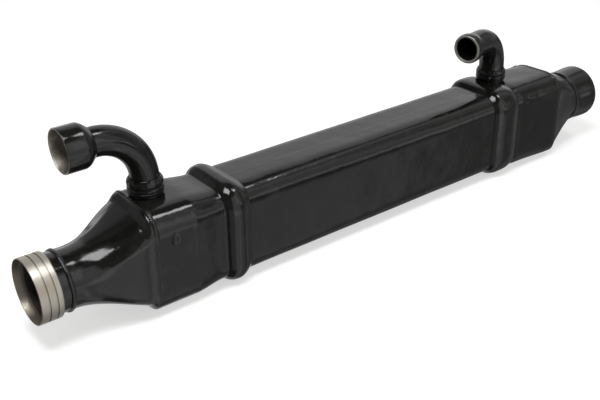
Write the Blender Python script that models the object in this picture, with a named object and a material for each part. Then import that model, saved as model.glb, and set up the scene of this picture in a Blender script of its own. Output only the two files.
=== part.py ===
"""Exhaust gas recirculation cooler for a diesel engine, all lengths in metres, +Z up.

Hot gas enters through the machined ring at -X, spreads through a round-to-rectangular diffuser
into a stack of flat tubes, and leaves through a cone and a short pipe at +X. Coolant enters the
front tank through a hose bell, washes round the tubes inside the long shell and leaves through
the rear elbow. Stations along the gas path are measured from the face of the inlet ring.
"""
import math

import bpy
import bmesh
import numpy as np
from mathutils import Vector

# Gas inlet ring, machined, with two piston ring grooves
RING_DIAMETER = 0.064
RING_LENGTH = 0.022
RING_WALL = 0.00265
RING_LIP = 0.0007
RING_EDGE = 0.00035
RING_CHAMFER_LENGTH = 0.0067
RING_EDGE_RADIUS = 0.0014
GROOVE_STATION = 0.0082
GROOVE_PITCH = 0.0074
GROOVE_WIDTH = 0.0014
GROOVE_DEPTH = 0.0009

# Neck between the ring and the diffuser
NECK_WALL = 0.0018
NECK_LENGTH = 0.0222
NECK_ENGAGEMENT = 0.0128

# Gas inlet diffuser, round to rectangular
DIFFUSER_LENGTH = 0.0820
DIFFUSER_WALL = 0.0018
DIFFUSER_STRAIGHT = 0.0083
DIFFUSER_SHOULDER = 0.0090
DIFFUSER_END = 0.0027
SHOULDER_SHARE = 0.28
FLARE_POWER = 1.4

# Long coolant shell
SHELL_WIDTH = 0.075
SHELL_HEIGHT = 0.098
SHELL_CORNER = 0.0186
SHELL_WALL = 0.0015
SHELL_LENGTH = 0.357
SPIGOT_LENGTH = 0.008

# Coolant tanks at the two ends of the shell, a step larger than it all round
TANK_SIDE_STEP = 0.00325
TANK_TOP_STEP = 0.0040
TANK_CORNER = 0.0185
TANK_RELIEF = 0.0005
RELIEF_POWER = 4
TANK_WALL = 0.0018
FRONT_TANK_BODY = 0.040
FRONT_TAPER = 0.036
FRONT_BEAD_LENGTH = 0.029
FRONT_VALLEY = 0.0002
REAR_TANK_BODY = 0.064
REAR_TAPER = 0.007
REAR_BEAD_LENGTH = 0.043
REAR_VALLEY = 0.0030
BEAD_HEIGHT = 0.0062
BEAD_FULLNESS = 0.8
DIMPLE_RADIUS = 0.0035
DIMPLE_DEPTH = 0.0009
FRONT_DIMPLE_INSET = 0.018
REAR_DIMPLE_INSET = 0.058
FRONT_DIMPLE_HEIGHT = 0.0235
REAR_DIMPLE_HEIGHT = 0.034

# Gas outlet cone and pipe
CONE_LENGTH = 0.055
CONE_WALL = 0.0018
CONE_ROUNDING = 0.007
CONE_ROUNDING_ANGLE = math.radians(60.0)
CONE_DROP = 0.22
CONE_BELLY = 0.20
CONE_NECK = 0.004
PIPE_DIAMETER = 0.0652
PIPE_FLARE = 0.0015
PIPE_LENGTH = 0.037
PIPE_WALL = 0.0016
PIPE_LIP_RADIUS = 0.003

# Header plates, flat gas tubes and comb baffles inside
PLATE_THICKNESS = 0.003
PLATE_INSET = 0.0015
BUNDLE_SIDE_GAP = 0.00505
BUNDLE_TOP_GAP = 0.00405
TUBE_ROWS = 10
TUBE_GAP = 0.003
TUBE_WALL = 0.0006
TUBE_PROUD = 0.0015
BAFFLE_COUNT = 3
BAFFLE_THICKNESS = 0.0015
BAFFLE_REACH = 0.046

# Coolant ports and elbows
PORT_OFFSET = 0.010
FRONT_PORT_INSET = 0.0185
REAR_PORT_INSET = 0.0727
BOSS_DIAMETER = 0.0320
BOSS_HEIGHT = 0.0020
FERRULE_DIAMETER = 0.0358
FRONT_FERRULE_LENGTH = 0.0163
REAR_FERRULE_LENGTH = 0.0127
FERRULE_WAIST = 0.46
FERRULE_ROUNDING = 0.12
FERRULE_SHOULDER = 0.80
WAIST_DEPTH = 0.0013
COLLAR_LIP = 0.0010
ELBOW_WALL = 0.0015
FRONT_ELBOW_DIAMETER = 0.0285
FRONT_ELBOW_BEND = 0.0483
FRONT_ELBOW_RISE = 0.0157
FRONT_ELBOW_STRAIGHT = 0.0045
FRONT_ELBOW_YAW = 0.0
REAR_ELBOW_DIAMETER = 0.0302
REAR_ELBOW_BEND = 0.0357
REAR_ELBOW_RISE = 0.0174
REAR_ELBOW_STRAIGHT = 0.0305
REAR_ELBOW_YAW = math.radians(13.0)
MOUTH_LIP_HEIGHT = 0.0022
MOUTH_LIP_LENGTH = 0.0170
MOUTH_LIP_SLOPE = 0.6
MOUTH_ROUNDING = 0.0036
MOUTH_DROP = 0.0018
MOUTH_FACE = 0.0015
MOUTH_SEAT_DEPTH = 0.0035
BELL_DIAMETER = 0.0430
BELL_LENGTH = 0.0185
BELL_SHOULDER = 0.0085
BELL_GRIP = 0.0022
BELL_EDGE = 0.0004
BELL_WALL = 0.0015

# Welds and clearances
WELD_WIDTH = 0.0042
WELD_HEIGHT = 0.0014
REAR_WELD_HEIGHT = 0.0007
FIT = 0.00015
TOUCH = 0.0003

# Fineness of the faceted forms
TURN_STEPS = 32
CORNER_STEPS = 4
FLANK_STEPS = 3
EDGE_STEPS = 3
FLARE_STEPS = 7
SHOULDER_STEPS = 5
BEAD_STEPS = 12
REAR_TAPER_STEPS = 3
ELBOW_STEPS = 20
BEND_STEPS = 8
SLOT_STEPS = 3
WELD_STEPS = 4
LEAST_CORNER = 0.0005

PAINT = ("gloss_black_paint", (0.014, 0.014, 0.014), 0.22, 0.0)
STEEL = ("machined_stainless", (0.58, 0.56, 0.53), 0.28, 1.0)
INNER = ("stainless_sheet", (0.42, 0.41, 0.39), 0.38, 1.0)

# Sections (half width, half height, corner, relief of the sides) and what follows from them
NECK_DIAMETER = RING_DIAMETER - 2 * (RING_WALL + FIT)
TANK_WIDTH = SHELL_WIDTH + 2 * TANK_SIDE_STEP
TANK_HEIGHT = SHELL_HEIGHT + 2 * TANK_TOP_STEP
SHELL_SECTION = (SHELL_WIDTH / 2, SHELL_HEIGHT / 2, SHELL_CORNER, 0.0)
TANK_SECTION = (TANK_WIDTH / 2, TANK_HEIGHT / 2, TANK_CORNER, TANK_RELIEF)
SPIGOT_DROP = TANK_WALL + FIT
TUBE_WIDTH = SHELL_WIDTH - 2 * (SPIGOT_DROP + SHELL_WALL + BUNDLE_SIDE_GAP)
BUNDLE_HEIGHT = SHELL_HEIGHT - 2 * (SPIGOT_DROP + SHELL_WALL + BUNDLE_TOP_GAP)
TUBE_PITCH = (BUNDLE_HEIGHT + TUBE_GAP) / TUBE_ROWS
TUBE_HEIGHT = TUBE_PITCH - TUBE_GAP

# Stations along the gas path
NECK_START = RING_LENGTH - NECK_ENGAGEMENT
NECK_FINISH = NECK_START + NECK_LENGTH
DIFFUSER_START = NECK_FINISH + TOUCH
DIFFUSER_FINISH = DIFFUSER_START + DIFFUSER_LENGTH
FRONT_TANK_START = DIFFUSER_FINISH + TOUCH
FRONT_TANK_FINISH = FRONT_TANK_START + FRONT_TANK_BODY + FRONT_TAPER + FRONT_BEAD_LENGTH
SHELL_START = FRONT_TANK_FINISH + TOUCH
SHELL_FINISH = SHELL_START + SHELL_LENGTH
REAR_TANK_START = SHELL_FINISH + TOUCH
REAR_TANK_FINISH = REAR_TANK_START + REAR_BEAD_LENGTH + REAR_TAPER + REAR_TANK_BODY
CONE_START = REAR_TANK_FINISH + TOUCH
CONE_FINISH = CONE_START + CONE_LENGTH
PIPE_START = CONE_FINISH + TOUCH
PIPE_FINISH = PIPE_START + PIPE_LENGTH
FRONT_PLATE = FRONT_TANK_START + PLATE_INSET
REAR_PLATE = REAR_TANK_FINISH - PLATE_INSET - PLATE_THICKNESS
FRONT_PORT = FRONT_TANK_START + FRONT_PORT_INSET
REAR_PORT = REAR_TANK_FINISH - REAR_PORT_INSET

# Heights at the coolant ports, above the gas axis
BOSS_BOTTOM = TANK_HEIGHT / 2 - TANK_WALL
BOSS_TOP = TANK_HEIGHT / 2 + BOSS_HEIGHT
FERRULE_BOTTOM = BOSS_TOP + TOUCH

# The part stands on its two beads, with the origin under the middle of its length
MIDDLE = PIPE_FINISH / 2
FLOOR = SHELL_HEIGHT / 2 + BEAD_HEIGHT


def material(kind):
    name, colour, roughness, metallic = kind
    found = bpy.data.materials.get(name)
    if found:
        return found
    made = bpy.data.materials.new(name)
    made.use_nodes = True
    shader = made.node_tree.nodes["Principled BSDF"]
    shader.inputs["Base Color"].default_value = (*colour, 1.0)
    shader.inputs["Roughness"].default_value = roughness
    shader.inputs["Metallic"].default_value = metallic
    return made


def finish(name, mesh_data, kind, place=Vector((0.0, 0.0, 0.0))):
    """Closes a bmesh into an object with faces outward, smooth over shallow angles."""
    bmesh.ops.recalc_face_normals(mesh_data, faces=mesh_data.faces)
    if mesh_data.calc_volume(signed=True) < 0:
        bmesh.ops.reverse_faces(mesh_data, faces=mesh_data.faces)
    mesh = bpy.data.meshes.new(name)
    mesh_data.to_mesh(mesh)
    mesh_data.free()
    mesh.shade_smooth()
    mesh.set_sharp_from_angle(angle=math.radians(32))
    mesh.materials.append(material(kind))
    made = bpy.data.objects.new(name, mesh)
    made.location = place + Vector((-MIDDLE, 0.0, FLOOR))
    bpy.context.scene.collection.objects.link(made)
    return made


def closed_loft(rings):
    """A wall whose rings of points run along the outside and come back along the inside."""
    shape = bmesh.new()
    rows = [[shape.verts.new(point) for point in ring] for ring in rings]
    for row, after in zip(rows, rows[1:] + rows[:1]):
        for i, corner in enumerate(row):
            j = (i + 1) % len(row)
            shape.faces.new((corner, row[j], after[j], after[i]))
    return shape


def round_ring(station, radius, steps=TURN_STEPS):
    turn = np.arange(steps) * 2 * np.pi / steps
    return np.column_stack([np.full(steps, station), radius * np.cos(turn), radius * np.sin(turn)])


def turned(profile, steps=TURN_STEPS):
    """A body turned round the gas axis from a closed outline of (station, radius) pairs."""
    return closed_loft([round_ring(station, radius, steps) for station, radius in profile])


def box_ring(station, half_width, half_height, corner, relief=0.0, flank_steps=1):
    """A rounded rectangle across the gas axis, whose sides fall away by relief at the corners."""
    points = []
    for quarter in range(4):
        side_y = 1 if quarter in (0, 3) else -1
        side_z = 1 if quarter < 2 else -1
        centre = np.array([side_y * (half_width - corner), side_z * (half_height - corner)])
        angle = (quarter + np.linspace(0, 1, CORNER_STEPS + 1)) * np.pi / 2
        arc = centre + corner * np.column_stack([np.cos(angle), np.sin(angle)])
        points.extend(arc)
        ahead = (quarter + 1) % 4
        next_y = 1 if ahead in (0, 3) else -1
        next_z = 1 if ahead < 2 else -1
        next_centre = np.array([next_y * (half_width - corner), next_z * (half_height - corner)])
        edge = np.array([np.cos(angle[-1]), np.sin(angle[-1])]) * corner
        for step in range(1, flank_steps):
            share = step / flank_steps
            points.append((1 - share) * centre + share * next_centre + edge)
    flat = np.array(points)
    lean = np.abs(flat / (half_width, half_height)) ** RELIEF_POWER
    flat -= np.sign(flat) * relief * lean[:, ::-1]
    return np.column_stack([np.full(len(flat), station), flat])


def smooth(share):
    share = min(max(share, 0.0), 1.0)
    return share * share * (3 - 2 * share)


def mix(start, end, share):
    return tuple(a + (b - a) * share for a, b in zip(start, end))


def grown(section, offset):
    half_width, half_height, corner, relief = section
    return half_width + offset, half_height + offset, max(corner + offset, LEAST_CORNER), relief


def alternate(sequence):
    """Every second item, with both ends kept, for the hidden inside of a formed sheet."""
    return sequence[:-1:2] + sequence[-1:]


def walled(outer_sections, inner_sections, wall, flank_steps=1):
    """A wall lofted through (station, section) pairs, with an even thickness inward."""
    outside = [box_ring(station, *section, flank_steps) for station, section in outer_sections]
    inside = [box_ring(station, *grown(section, -wall), flank_steps)
              for station, section in inner_sections]
    return closed_loft(outside + inside[::-1])


def duct_ring(station, radius, share, inset):
    """A ring between a circle, at share 0, and the tank's rounded rectangle, at share 1."""
    box = box_ring(station, *grown(TANK_SECTION, -inset), FLANK_STEPS)
    turn = np.pi / 4 + (np.arange(len(box)) - CORNER_STEPS / 2) * 2 * np.pi / len(box)
    round_points = (radius - inset) * np.column_stack([np.cos(turn), np.sin(turn)])
    box[:, 1:] = share * box[:, 1:] + (1 - share) * round_points
    return box


def duct(name, stations, radius, wall):
    """A sheet duct lofted between round and rectangular, through (station, share) pairs."""
    outside = [duct_ring(station, radius, share, 0.0) for station, share in stations]
    inside = [duct_ring(station, radius, share, wall) for station, share in alternate(stations)]
    finish(name, closed_loft(outside + inside[::-1]), PAINT)


def gas_inlet_ring():
    radius = RING_DIAMETER / 2
    bore = NECK_DIAMETER / 2 + FIT
    profile = [(0.0, radius - RING_EDGE), (RING_EDGE, radius)]
    for groove in range(2):
        start = GROOVE_STATION + groove * GROOVE_PITCH - GROOVE_WIDTH / 2
        profile += [(start, radius), (start, radius - GROOVE_DEPTH)]
        profile += [(start + GROOVE_WIDTH, radius - GROOVE_DEPTH), (start + GROOVE_WIDTH, radius)]
    for step in range(EDGE_STEPS + 1):
        angle = step / EDGE_STEPS * math.pi / 2
        profile.append((RING_LENGTH - RING_EDGE_RADIUS * (1 - math.sin(angle)),
                        radius - RING_EDGE_RADIUS * (1 - math.cos(angle))))
    profile += [(RING_LENGTH, bore), (RING_CHAMFER_LENGTH, bore),
                (0.0, radius - RING_EDGE - RING_LIP)]
    finish("gas_inlet_ring", turned(profile), STEEL)


def inlet_neck():
    outer = NECK_DIAMETER / 2
    profile = [(NECK_START, outer), (NECK_FINISH, outer), (NECK_FINISH, outer - NECK_WALL),
               (NECK_START, outer - NECK_WALL)]
    finish("inlet_neck", turned(profile), PAINT)


def weld_profile(station, height):
    """Stations and heights of a half-round weld bead laid over a joint."""
    angle = np.linspace(0, np.pi, WELD_STEPS + 1)
    return zip(station - WELD_WIDTH / 2 * np.cos(angle), TOUCH + height * np.sin(angle))


def round_weld(name, station, radius, height):
    profile = [(along, radius + rise) for along, rise in weld_profile(station, height)]
    finish(name, turned(profile), PAINT)


def tank_weld(name, station, height):
    """The weld that runs round the rectangular joint between a gas duct and a tank."""
    rings = [box_ring(along, *grown(TANK_SECTION, rise), FLANK_STEPS)
             for along, rise in weld_profile(station, height)]
    finish(name, closed_loft(rings), PAINT)


def diffuser_share(depth):
    """How far the diffuser has opened from round to rectangular, 0 to 1, at a depth into it."""
    flare = DIFFUSER_LENGTH - DIFFUSER_STRAIGHT - DIFFUSER_SHOULDER - DIFFUSER_END
    run = (depth - DIFFUSER_STRAIGHT) / flare
    slope = (1 - SHOULDER_SHARE) * min(max(run, 0.0), 1.0) ** FLARE_POWER
    shoulder = (depth - DIFFUSER_STRAIGHT - flare) / DIFFUSER_SHOULDER
    return slope + SHOULDER_SHARE * smooth(shoulder)


def inlet_diffuser():
    flare = DIFFUSER_LENGTH - DIFFUSER_STRAIGHT - DIFFUSER_SHOULDER - DIFFUSER_END
    depths = [0.0, DIFFUSER_STRAIGHT / 2]
    depths += [DIFFUSER_STRAIGHT + flare * step / FLARE_STEPS for step in range(FLARE_STEPS + 1)]
    depths += [DIFFUSER_STRAIGHT + flare + DIFFUSER_SHOULDER * step / SHOULDER_STEPS
               for step in range(1, SHOULDER_STEPS + 1)]
    depths.append(DIFFUSER_LENGTH)
    stations = [(DIFFUSER_START + depth, diffuser_share(depth)) for depth in depths]
    duct("inlet_diffuser", stations, NECK_DIAMETER / 2, DIFFUSER_WALL)


def bead_sections(start, length, before, after):
    """The rounded bead that runs round a tank, between the sheet's heights on its two sides."""
    sections = []
    for step in range(BEAD_STEPS + 1):
        share = step / BEAD_STEPS
        swell = math.sin(math.pi * share) ** BEAD_FULLNESS if 0 < step < BEAD_STEPS else 0.0
        ground = before if share < 0.5 else after
        offset = ground + (BEAD_HEIGHT - ground) * swell
        sections.append((start + length * share, grown(SHELL_SECTION, offset)))
    return sections


def front_tank_sections():
    body_end = FRONT_TANK_START + FRONT_TANK_BODY
    valley = body_end + FRONT_TAPER
    low = grown(SHELL_SECTION, FRONT_VALLEY)
    sections = [(FRONT_TANK_START, TANK_SECTION), (body_end, TANK_SECTION)]
    sections += [(body_end + FRONT_TAPER * step / SHOULDER_STEPS,
                  mix(TANK_SECTION, low, smooth(step / SHOULDER_STEPS)))
                 for step in range(1, SHOULDER_STEPS)]
    return sections + bead_sections(valley, FRONT_BEAD_LENGTH, FRONT_VALLEY, 0.0)


def rear_tank_sections():
    valley = REAR_TANK_START + REAR_BEAD_LENGTH
    low = grown(SHELL_SECTION, REAR_VALLEY)
    sections = bead_sections(REAR_TANK_START, REAR_BEAD_LENGTH, 0.0, REAR_VALLEY)
    sections += [(valley + REAR_TAPER * step / REAR_TAPER_STEPS,
                  mix(low, TANK_SECTION, smooth(step / REAR_TAPER_STEPS)))
                 for step in range(1, REAR_TAPER_STEPS + 1)]
    sections.append((REAR_TANK_FINISH, TANK_SECTION))
    return sections


def cutter(name, shape, place):
    made = finish(name, shape, INNER, place)
    made.hide_render = True
    made.display_type = 'WIRE'
    return made


def cut(target, tool):
    change = target.modifiers.new(tool.name, 'BOOLEAN')
    change.operation = 'DIFFERENCE'
    change.solver = 'EXACT'
    change.object = tool


def port_cutter(name, station):
    """A round drill down through the top wall of a tank, where a port boss passes."""
    shape = bmesh.new()
    radius = BOSS_DIAMETER / 2 + TOUCH
    bmesh.ops.create_cone(shape, cap_ends=True, segments=ELBOW_STEPS, depth=TANK_HEIGHT / 2,
                          radius1=radius, radius2=radius)
    return cutter(name, shape, Vector((station, PORT_OFFSET, TANK_HEIGHT / 2)))


def dimple_cutter(name, station, height):
    """A sphere that presses a shallow round dimple into the tank's near side."""
    shape = bmesh.new()
    sphere = (DIMPLE_RADIUS ** 2 + DIMPLE_DEPTH ** 2) / (2 * DIMPLE_DEPTH)
    bmesh.ops.create_icosphere(shape, subdivisions=3, radius=sphere)
    fall = TANK_RELIEF * (height / (TANK_HEIGHT / 2)) ** RELIEF_POWER
    side = TANK_WIDTH / 2 - fall + sphere - DIMPLE_DEPTH
    return cutter(name, shape, Vector((station, -side, height)))


def tank_shell(name, sections):
    return finish(name, walled(sections, alternate(sections), TANK_WALL, FLANK_STEPS), PAINT)


def front_coolant_tank():
    tank = tank_shell("front_coolant_tank", front_tank_sections())
    cut(tank, port_cutter("front_port_drill", FRONT_PORT))
    station = FRONT_TANK_START + FRONT_DIMPLE_INSET
    cut(tank, dimple_cutter("front_dimple_punch", station, FRONT_DIMPLE_HEIGHT))


def rear_coolant_tank():
    tank = tank_shell("rear_coolant_tank", rear_tank_sections())
    cut(tank, port_cutter("rear_port_drill", REAR_PORT))
    station = REAR_TANK_FINISH - REAR_DIMPLE_INSET
    cut(tank, dimple_cutter("rear_dimple_punch", station, REAR_DIMPLE_HEIGHT))


def core_shell():
    """The long shell, joggled inward at both ends to slip inside the tanks."""
    spigot = grown(SHELL_SECTION, -SPIGOT_DROP)
    sections = [(SHELL_START - SPIGOT_LENGTH, spigot), (SHELL_START, spigot),
                (SHELL_START + SHELL_WALL, SHELL_SECTION),
                (SHELL_FINISH - SHELL_WALL, SHELL_SECTION),
                (SHELL_FINISH, spigot), (SHELL_FINISH + SPIGOT_LENGTH, spigot)]
    finish("core_shell", walled(sections, sections, SHELL_WALL), PAINT)


def outlet_cone():
    """The rear gas duct, rounded over from the tank's section and drawn in to the pipe."""
    stations = [(CONE_START, 1.0)]
    for step in range(1, EDGE_STEPS + 1):
        angle = step / EDGE_STEPS * CONE_ROUNDING_ANGLE
        stations.append((CONE_START + CONE_ROUNDING * math.sin(angle),
                         1 - CONE_DROP * (1 - math.cos(angle))))
    begin, reached = stations[-1]
    run = CONE_FINISH - CONE_NECK - begin
    for step in range(1, FLARE_STEPS + 1):
        share = step / FLARE_STEPS
        eased = share + CONE_BELLY * share * (1 - share)
        stations.append((begin + run * share, reached * (1 - eased)))
    stations.append((CONE_FINISH, 0.0))
    duct("outlet_cone", stations, PIPE_DIAMETER / 2, CONE_WALL)


def outlet_pipe():
    """A short pipe that widens a little toward its rolled lip."""
    end = PIPE_DIAMETER / 2 + PIPE_FLARE
    widest = PIPE_LENGTH - PIPE_LIP_RADIUS
    outer = [(PIPE_START + widest * share, PIPE_DIAMETER / 2 + PIPE_FLARE * smooth(share))
             for share in np.linspace(0, 1, SHOULDER_STEPS)]
    inner = [(station, radius - PIPE_WALL) for station, radius in outer]
    inner.append((PIPE_FINISH, end - PIPE_WALL))
    for step in range(1, EDGE_STEPS + 1):
        angle = step / EDGE_STEPS * math.pi / 2
        outer.append((PIPE_START + widest + PIPE_LIP_RADIUS * math.sin(angle),
                      end - PIPE_WALL / 2 * (1 - math.cos(angle))))
    finish("outlet_pipe", turned(outer + inner[::-1]), PAINT)


def slot_outline(half_width, half_height, height):
    """Points round a flat tube's section, with half-round ends, at a height above the axis."""
    straight = half_width - half_height
    half = np.linspace(-np.pi / 2, np.pi / 2, SLOT_STEPS + 1)
    return [(side * (straight + half_height * math.cos(a)), height + side * half_height * math.sin(a))
            for side in (1, -1) for a in half]


def row_height(row):
    return (row - (TUBE_ROWS - 1) / 2) * TUBE_PITCH


def extruded(loops, station, thickness):
    """A flat plate across the gas axis, its outline and holes filled and drawn out along X."""
    shape = bmesh.new()
    edges = []
    for loop in loops:
        corners = [shape.verts.new((station, y, z)) for y, z in loop]
        edges += [shape.edges.new((a, b)) for a, b in zip(corners, corners[1:] + corners[:1])]
    filled = bmesh.ops.triangle_fill(shape, edges=edges, use_beauty=True)
    faces = [f for f in filled["geom"] if isinstance(f, bmesh.types.BMFace)]
    drawn = bmesh.ops.extrude_face_region(shape, geom=faces, use_keep_orig=True)
    moved = [v for v in drawn["geom"] if isinstance(v, bmesh.types.BMVert)]
    bmesh.ops.translate(shape, verts=moved, vec=(thickness, 0.0, 0.0))
    return shape


def header_plate(name, station):
    """A plate that closes the end of the coolant space and carries the ends of the gas tubes."""
    inside = grown(TANK_SECTION, -SPIGOT_DROP)
    outline = [(y, z) for _, y, z in box_ring(station, *inside, FLANK_STEPS)]
    slots = [slot_outline(TUBE_WIDTH / 2 + FIT, TUBE_HEIGHT / 2 + FIT, row_height(row))
             for row in range(TUBE_ROWS)]
    finish(name, extruded([outline] + slots, station, PLATE_THICKNESS), INNER)


def gas_tube(row):
    """One flat gas tube, its ends standing a little proud of both header plates."""
    start = FRONT_PLATE - TUBE_PROUD
    end = REAR_PLATE + PLATE_THICKNESS + TUBE_PROUD
    rings = []
    for station, inset in ((start, 0.0), (end, 0.0), (end, TUBE_WALL), (start, TUBE_WALL)):
        outline = slot_outline(TUBE_WIDTH / 2 - inset, TUBE_HEIGHT / 2 - inset, row_height(row))
        rings.append([(station, y, z) for y, z in outline])
    finish(f"gas_tube_{row + 1:02d}", closed_loft(rings), INNER)


def comb_baffle(number):
    """A comb that slides over the flat tubes from one side and turns the coolant across them."""
    side = 1 if number % 2 else -1
    spacing = SHELL_LENGTH / (BAFFLE_COUNT + 1)
    station = SHELL_START + spacing * (number + 1) - BAFFLE_THICKNESS / 2
    half_width = SHELL_WIDTH / 2 - SHELL_WALL - FIT
    half_height = SHELL_HEIGHT / 2 - SHELL_WALL - FIT
    corner = SHELL_CORNER - SHELL_WALL - FIT
    tip = half_width - BAFFLE_REACH
    outline = []
    for level in (-1, 1):
        angle = np.linspace(0, np.pi / 2, CORNER_STEPS + 1)
        arc = [(half_width - corner + corner * math.sin(a), half_height - corner + corner * math.cos(a))
               for a in angle]
        arc = arc if level == -1 else arc[::-1]
        outline += [(y, level * z) for y, z in arc]
    outline.append((tip, half_height))
    for row in reversed(range(TUBE_ROWS)):
        slot = TUBE_HEIGHT / 2 + FIT
        root = TUBE_WIDTH / 2 + FIT
        centre = row_height(row)
        outline.append((tip, centre + slot))
        outline += [(root - slot + slot * math.cos(a), centre + slot * math.sin(a))
                    for a in np.linspace(np.pi / 2, -np.pi / 2, SLOT_STEPS + 1)]
        outline.append((tip, centre - slot))
    outline.append((tip, -half_height))
    loop = [(side * y, z) for y, z in outline]
    finish(f"comb_baffle_{number + 1}", extruded([loop], station, BAFFLE_THICKNESS), INNER)


def upright(profile):
    """A body turned round a vertical axis from a closed outline of (height, radius) pairs."""
    rings = []
    for height, radius in profile:
        turn = np.arange(ELBOW_STEPS) * 2 * np.pi / ELBOW_STEPS
        rings.append(np.column_stack([radius * np.cos(turn), radius * np.sin(turn),
                                      np.full(ELBOW_STEPS, height)]))
    return closed_loft(rings)


def port_boss(name, station, tube_diameter):
    """A short turned boss through the tank's top wall, its bore level with the elbow's."""
    outer, inner = BOSS_DIAMETER / 2, tube_diameter / 2 - ELBOW_WALL
    edge = (outer - inner) / 3
    profile = [(BOSS_BOTTOM, outer), (BOSS_TOP - edge, outer), (BOSS_TOP, outer - edge),
               (BOSS_TOP, inner), (BOSS_BOTTOM, inner)]
    finish(name, upright(profile), PAINT, Vector((station, PORT_OFFSET, 0.0)))


def port_ferrule(name, station, tube_diameter, length):
    """A ferrule pressed round the foot of the elbow: two bulges, the upper sloping to the tube."""
    crest, inner = FERRULE_DIAMETER / 2, tube_diameter / 2 + FIT
    waist = crest - WAIST_DEPTH
    outline = [(0.0, waist), (FERRULE_ROUNDING, crest), (FERRULE_WAIST - FERRULE_ROUNDING, crest),
               (FERRULE_WAIST, waist), (FERRULE_WAIST + FERRULE_ROUNDING, crest),
               (FERRULE_SHOULDER, crest), (1.0, inner + COLLAR_LIP), (1.0, inner), (0.0, inner)]
    profile = [(FERRULE_BOTTOM + length * share, radius) for share, radius in outline]
    finish(name, upright(profile), PAINT, Vector((station, PORT_OFFSET, 0.0)))


def elbow_path(rise, bend, straight, yaw):
    """Centres and directions of an elbow: up from its socket, a quarter turn, then straight out."""
    knee = BOSS_TOP + rise
    heading = np.array([-math.cos(yaw), -math.sin(yaw), 0.0])
    up = np.array([0.0, 0.0, 1.0])
    path = [(up * FERRULE_BOTTOM, up)]
    for step in range(BEND_STEPS + 1):
        angle = step / BEND_STEPS * math.pi / 2
        centre = up * (knee + bend * math.sin(angle)) + heading * bend * (1 - math.cos(angle))
        path.append((centre, up * math.cos(angle) + heading * math.sin(angle)))
    tip = path[-1][0] + heading * straight
    path.append((tip, heading))
    return path


def bent_tube(name, station, heading, rings):
    """A bent tube walled through (centre, direction, radius) rings, all in one upright plane."""
    side = np.cross(heading, (0.0, 0.0, 1.0))
    turn = np.arange(ELBOW_STEPS)[:, None] * 2 * np.pi / ELBOW_STEPS
    placed = [centre + radius * (np.cos(turn) * side + np.sin(turn) * np.cross(side, along))
              for centre, along, radius in rings]
    finish(name, closed_loft(placed), PAINT, Vector((station, PORT_OFFSET, 0.0)))


def elbow(name, station, diameter, path, lip=(), seat=()):
    """An elbow with an even wall, and any raised lip and countersunk seat at its mouth.

    The lip and the seat are (distance back from the mouth, change of radius) pairs.
    """
    tip, heading = path[-1]
    outer, inner = diameter / 2, diameter / 2 - ELBOW_WALL
    rings = [(centre, along, outer) for centre, along in (path[:-1] if lip else path)]
    rings += [(tip - back * heading, heading, outer + change) for back, change in lip]
    rings += [(tip - back * heading, heading, inner + change) for back, change in seat]
    rings += [(centre, along, inner) for centre, along in (path[:-1] if seat else path)[::-1]]
    bent_tube(name, station, heading, rings)


def front_path():
    return elbow_path(FRONT_ELBOW_RISE, FRONT_ELBOW_BEND, FRONT_ELBOW_STRAIGHT, FRONT_ELBOW_YAW)


def rear_path():
    return elbow_path(REAR_ELBOW_RISE, REAR_ELBOW_BEND, REAR_ELBOW_STRAIGHT, REAR_ELBOW_YAW)


def mouth_lip():
    """The rear elbow's swollen end, which keeps the hose on, rounded over to its mouth."""
    points = [(MOUTH_LIP_LENGTH * (1 - MOUTH_LIP_SLOPE * share), MOUTH_LIP_HEIGHT * smooth(share))
              for share in np.linspace(0, 1, EDGE_STEPS + 1)]
    for angle in np.linspace(0, np.pi / 2, EDGE_STEPS + 1):
        points.append((MOUTH_ROUNDING * (1 - math.sin(angle)),
                       MOUTH_LIP_HEIGHT - MOUTH_DROP * (1 - math.cos(angle))))
    return points


def mouth_seat():
    """The countersink inside the rear elbow's mouth."""
    return [(0.0, ELBOW_WALL + MOUTH_LIP_HEIGHT - MOUTH_DROP - MOUTH_FACE),
            (MOUTH_SEAT_DEPTH, 0.0)]


def elbow_bell():
    """The wide hose socket brazed to the front elbow's end, which opens out to a thin rim."""
    small = FRONT_ELBOW_DIAMETER / 2 + FIT
    large = BELL_DIAMETER / 2 - BELL_WALL
    inner, outer = [(-BELL_GRIP, small)], []
    for share in np.linspace(0, 1, SHOULDER_STEPS + 1):
        swell = math.sin(share * math.pi / 2)
        inner.append((TOUCH + BELL_SHOULDER * share, small + (large - small) * swell))
        outer.append((-BELL_GRIP + (TOUCH + BELL_SHOULDER + BELL_GRIP) * share,
                      small + BELL_EDGE + (large + BELL_WALL - small - BELL_EDGE) * swell))
    rim = TOUCH + BELL_SHOULDER + BELL_LENGTH
    outline = outer + [(rim, large + BELL_WALL), (rim, large)] + inner[::-1]
    tip, heading = front_path()[-1]
    rings = [(tip + heading * along, heading, radius) for along, radius in outline]
    bent_tube("elbow_bell", FRONT_PORT, heading, rings)


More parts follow.
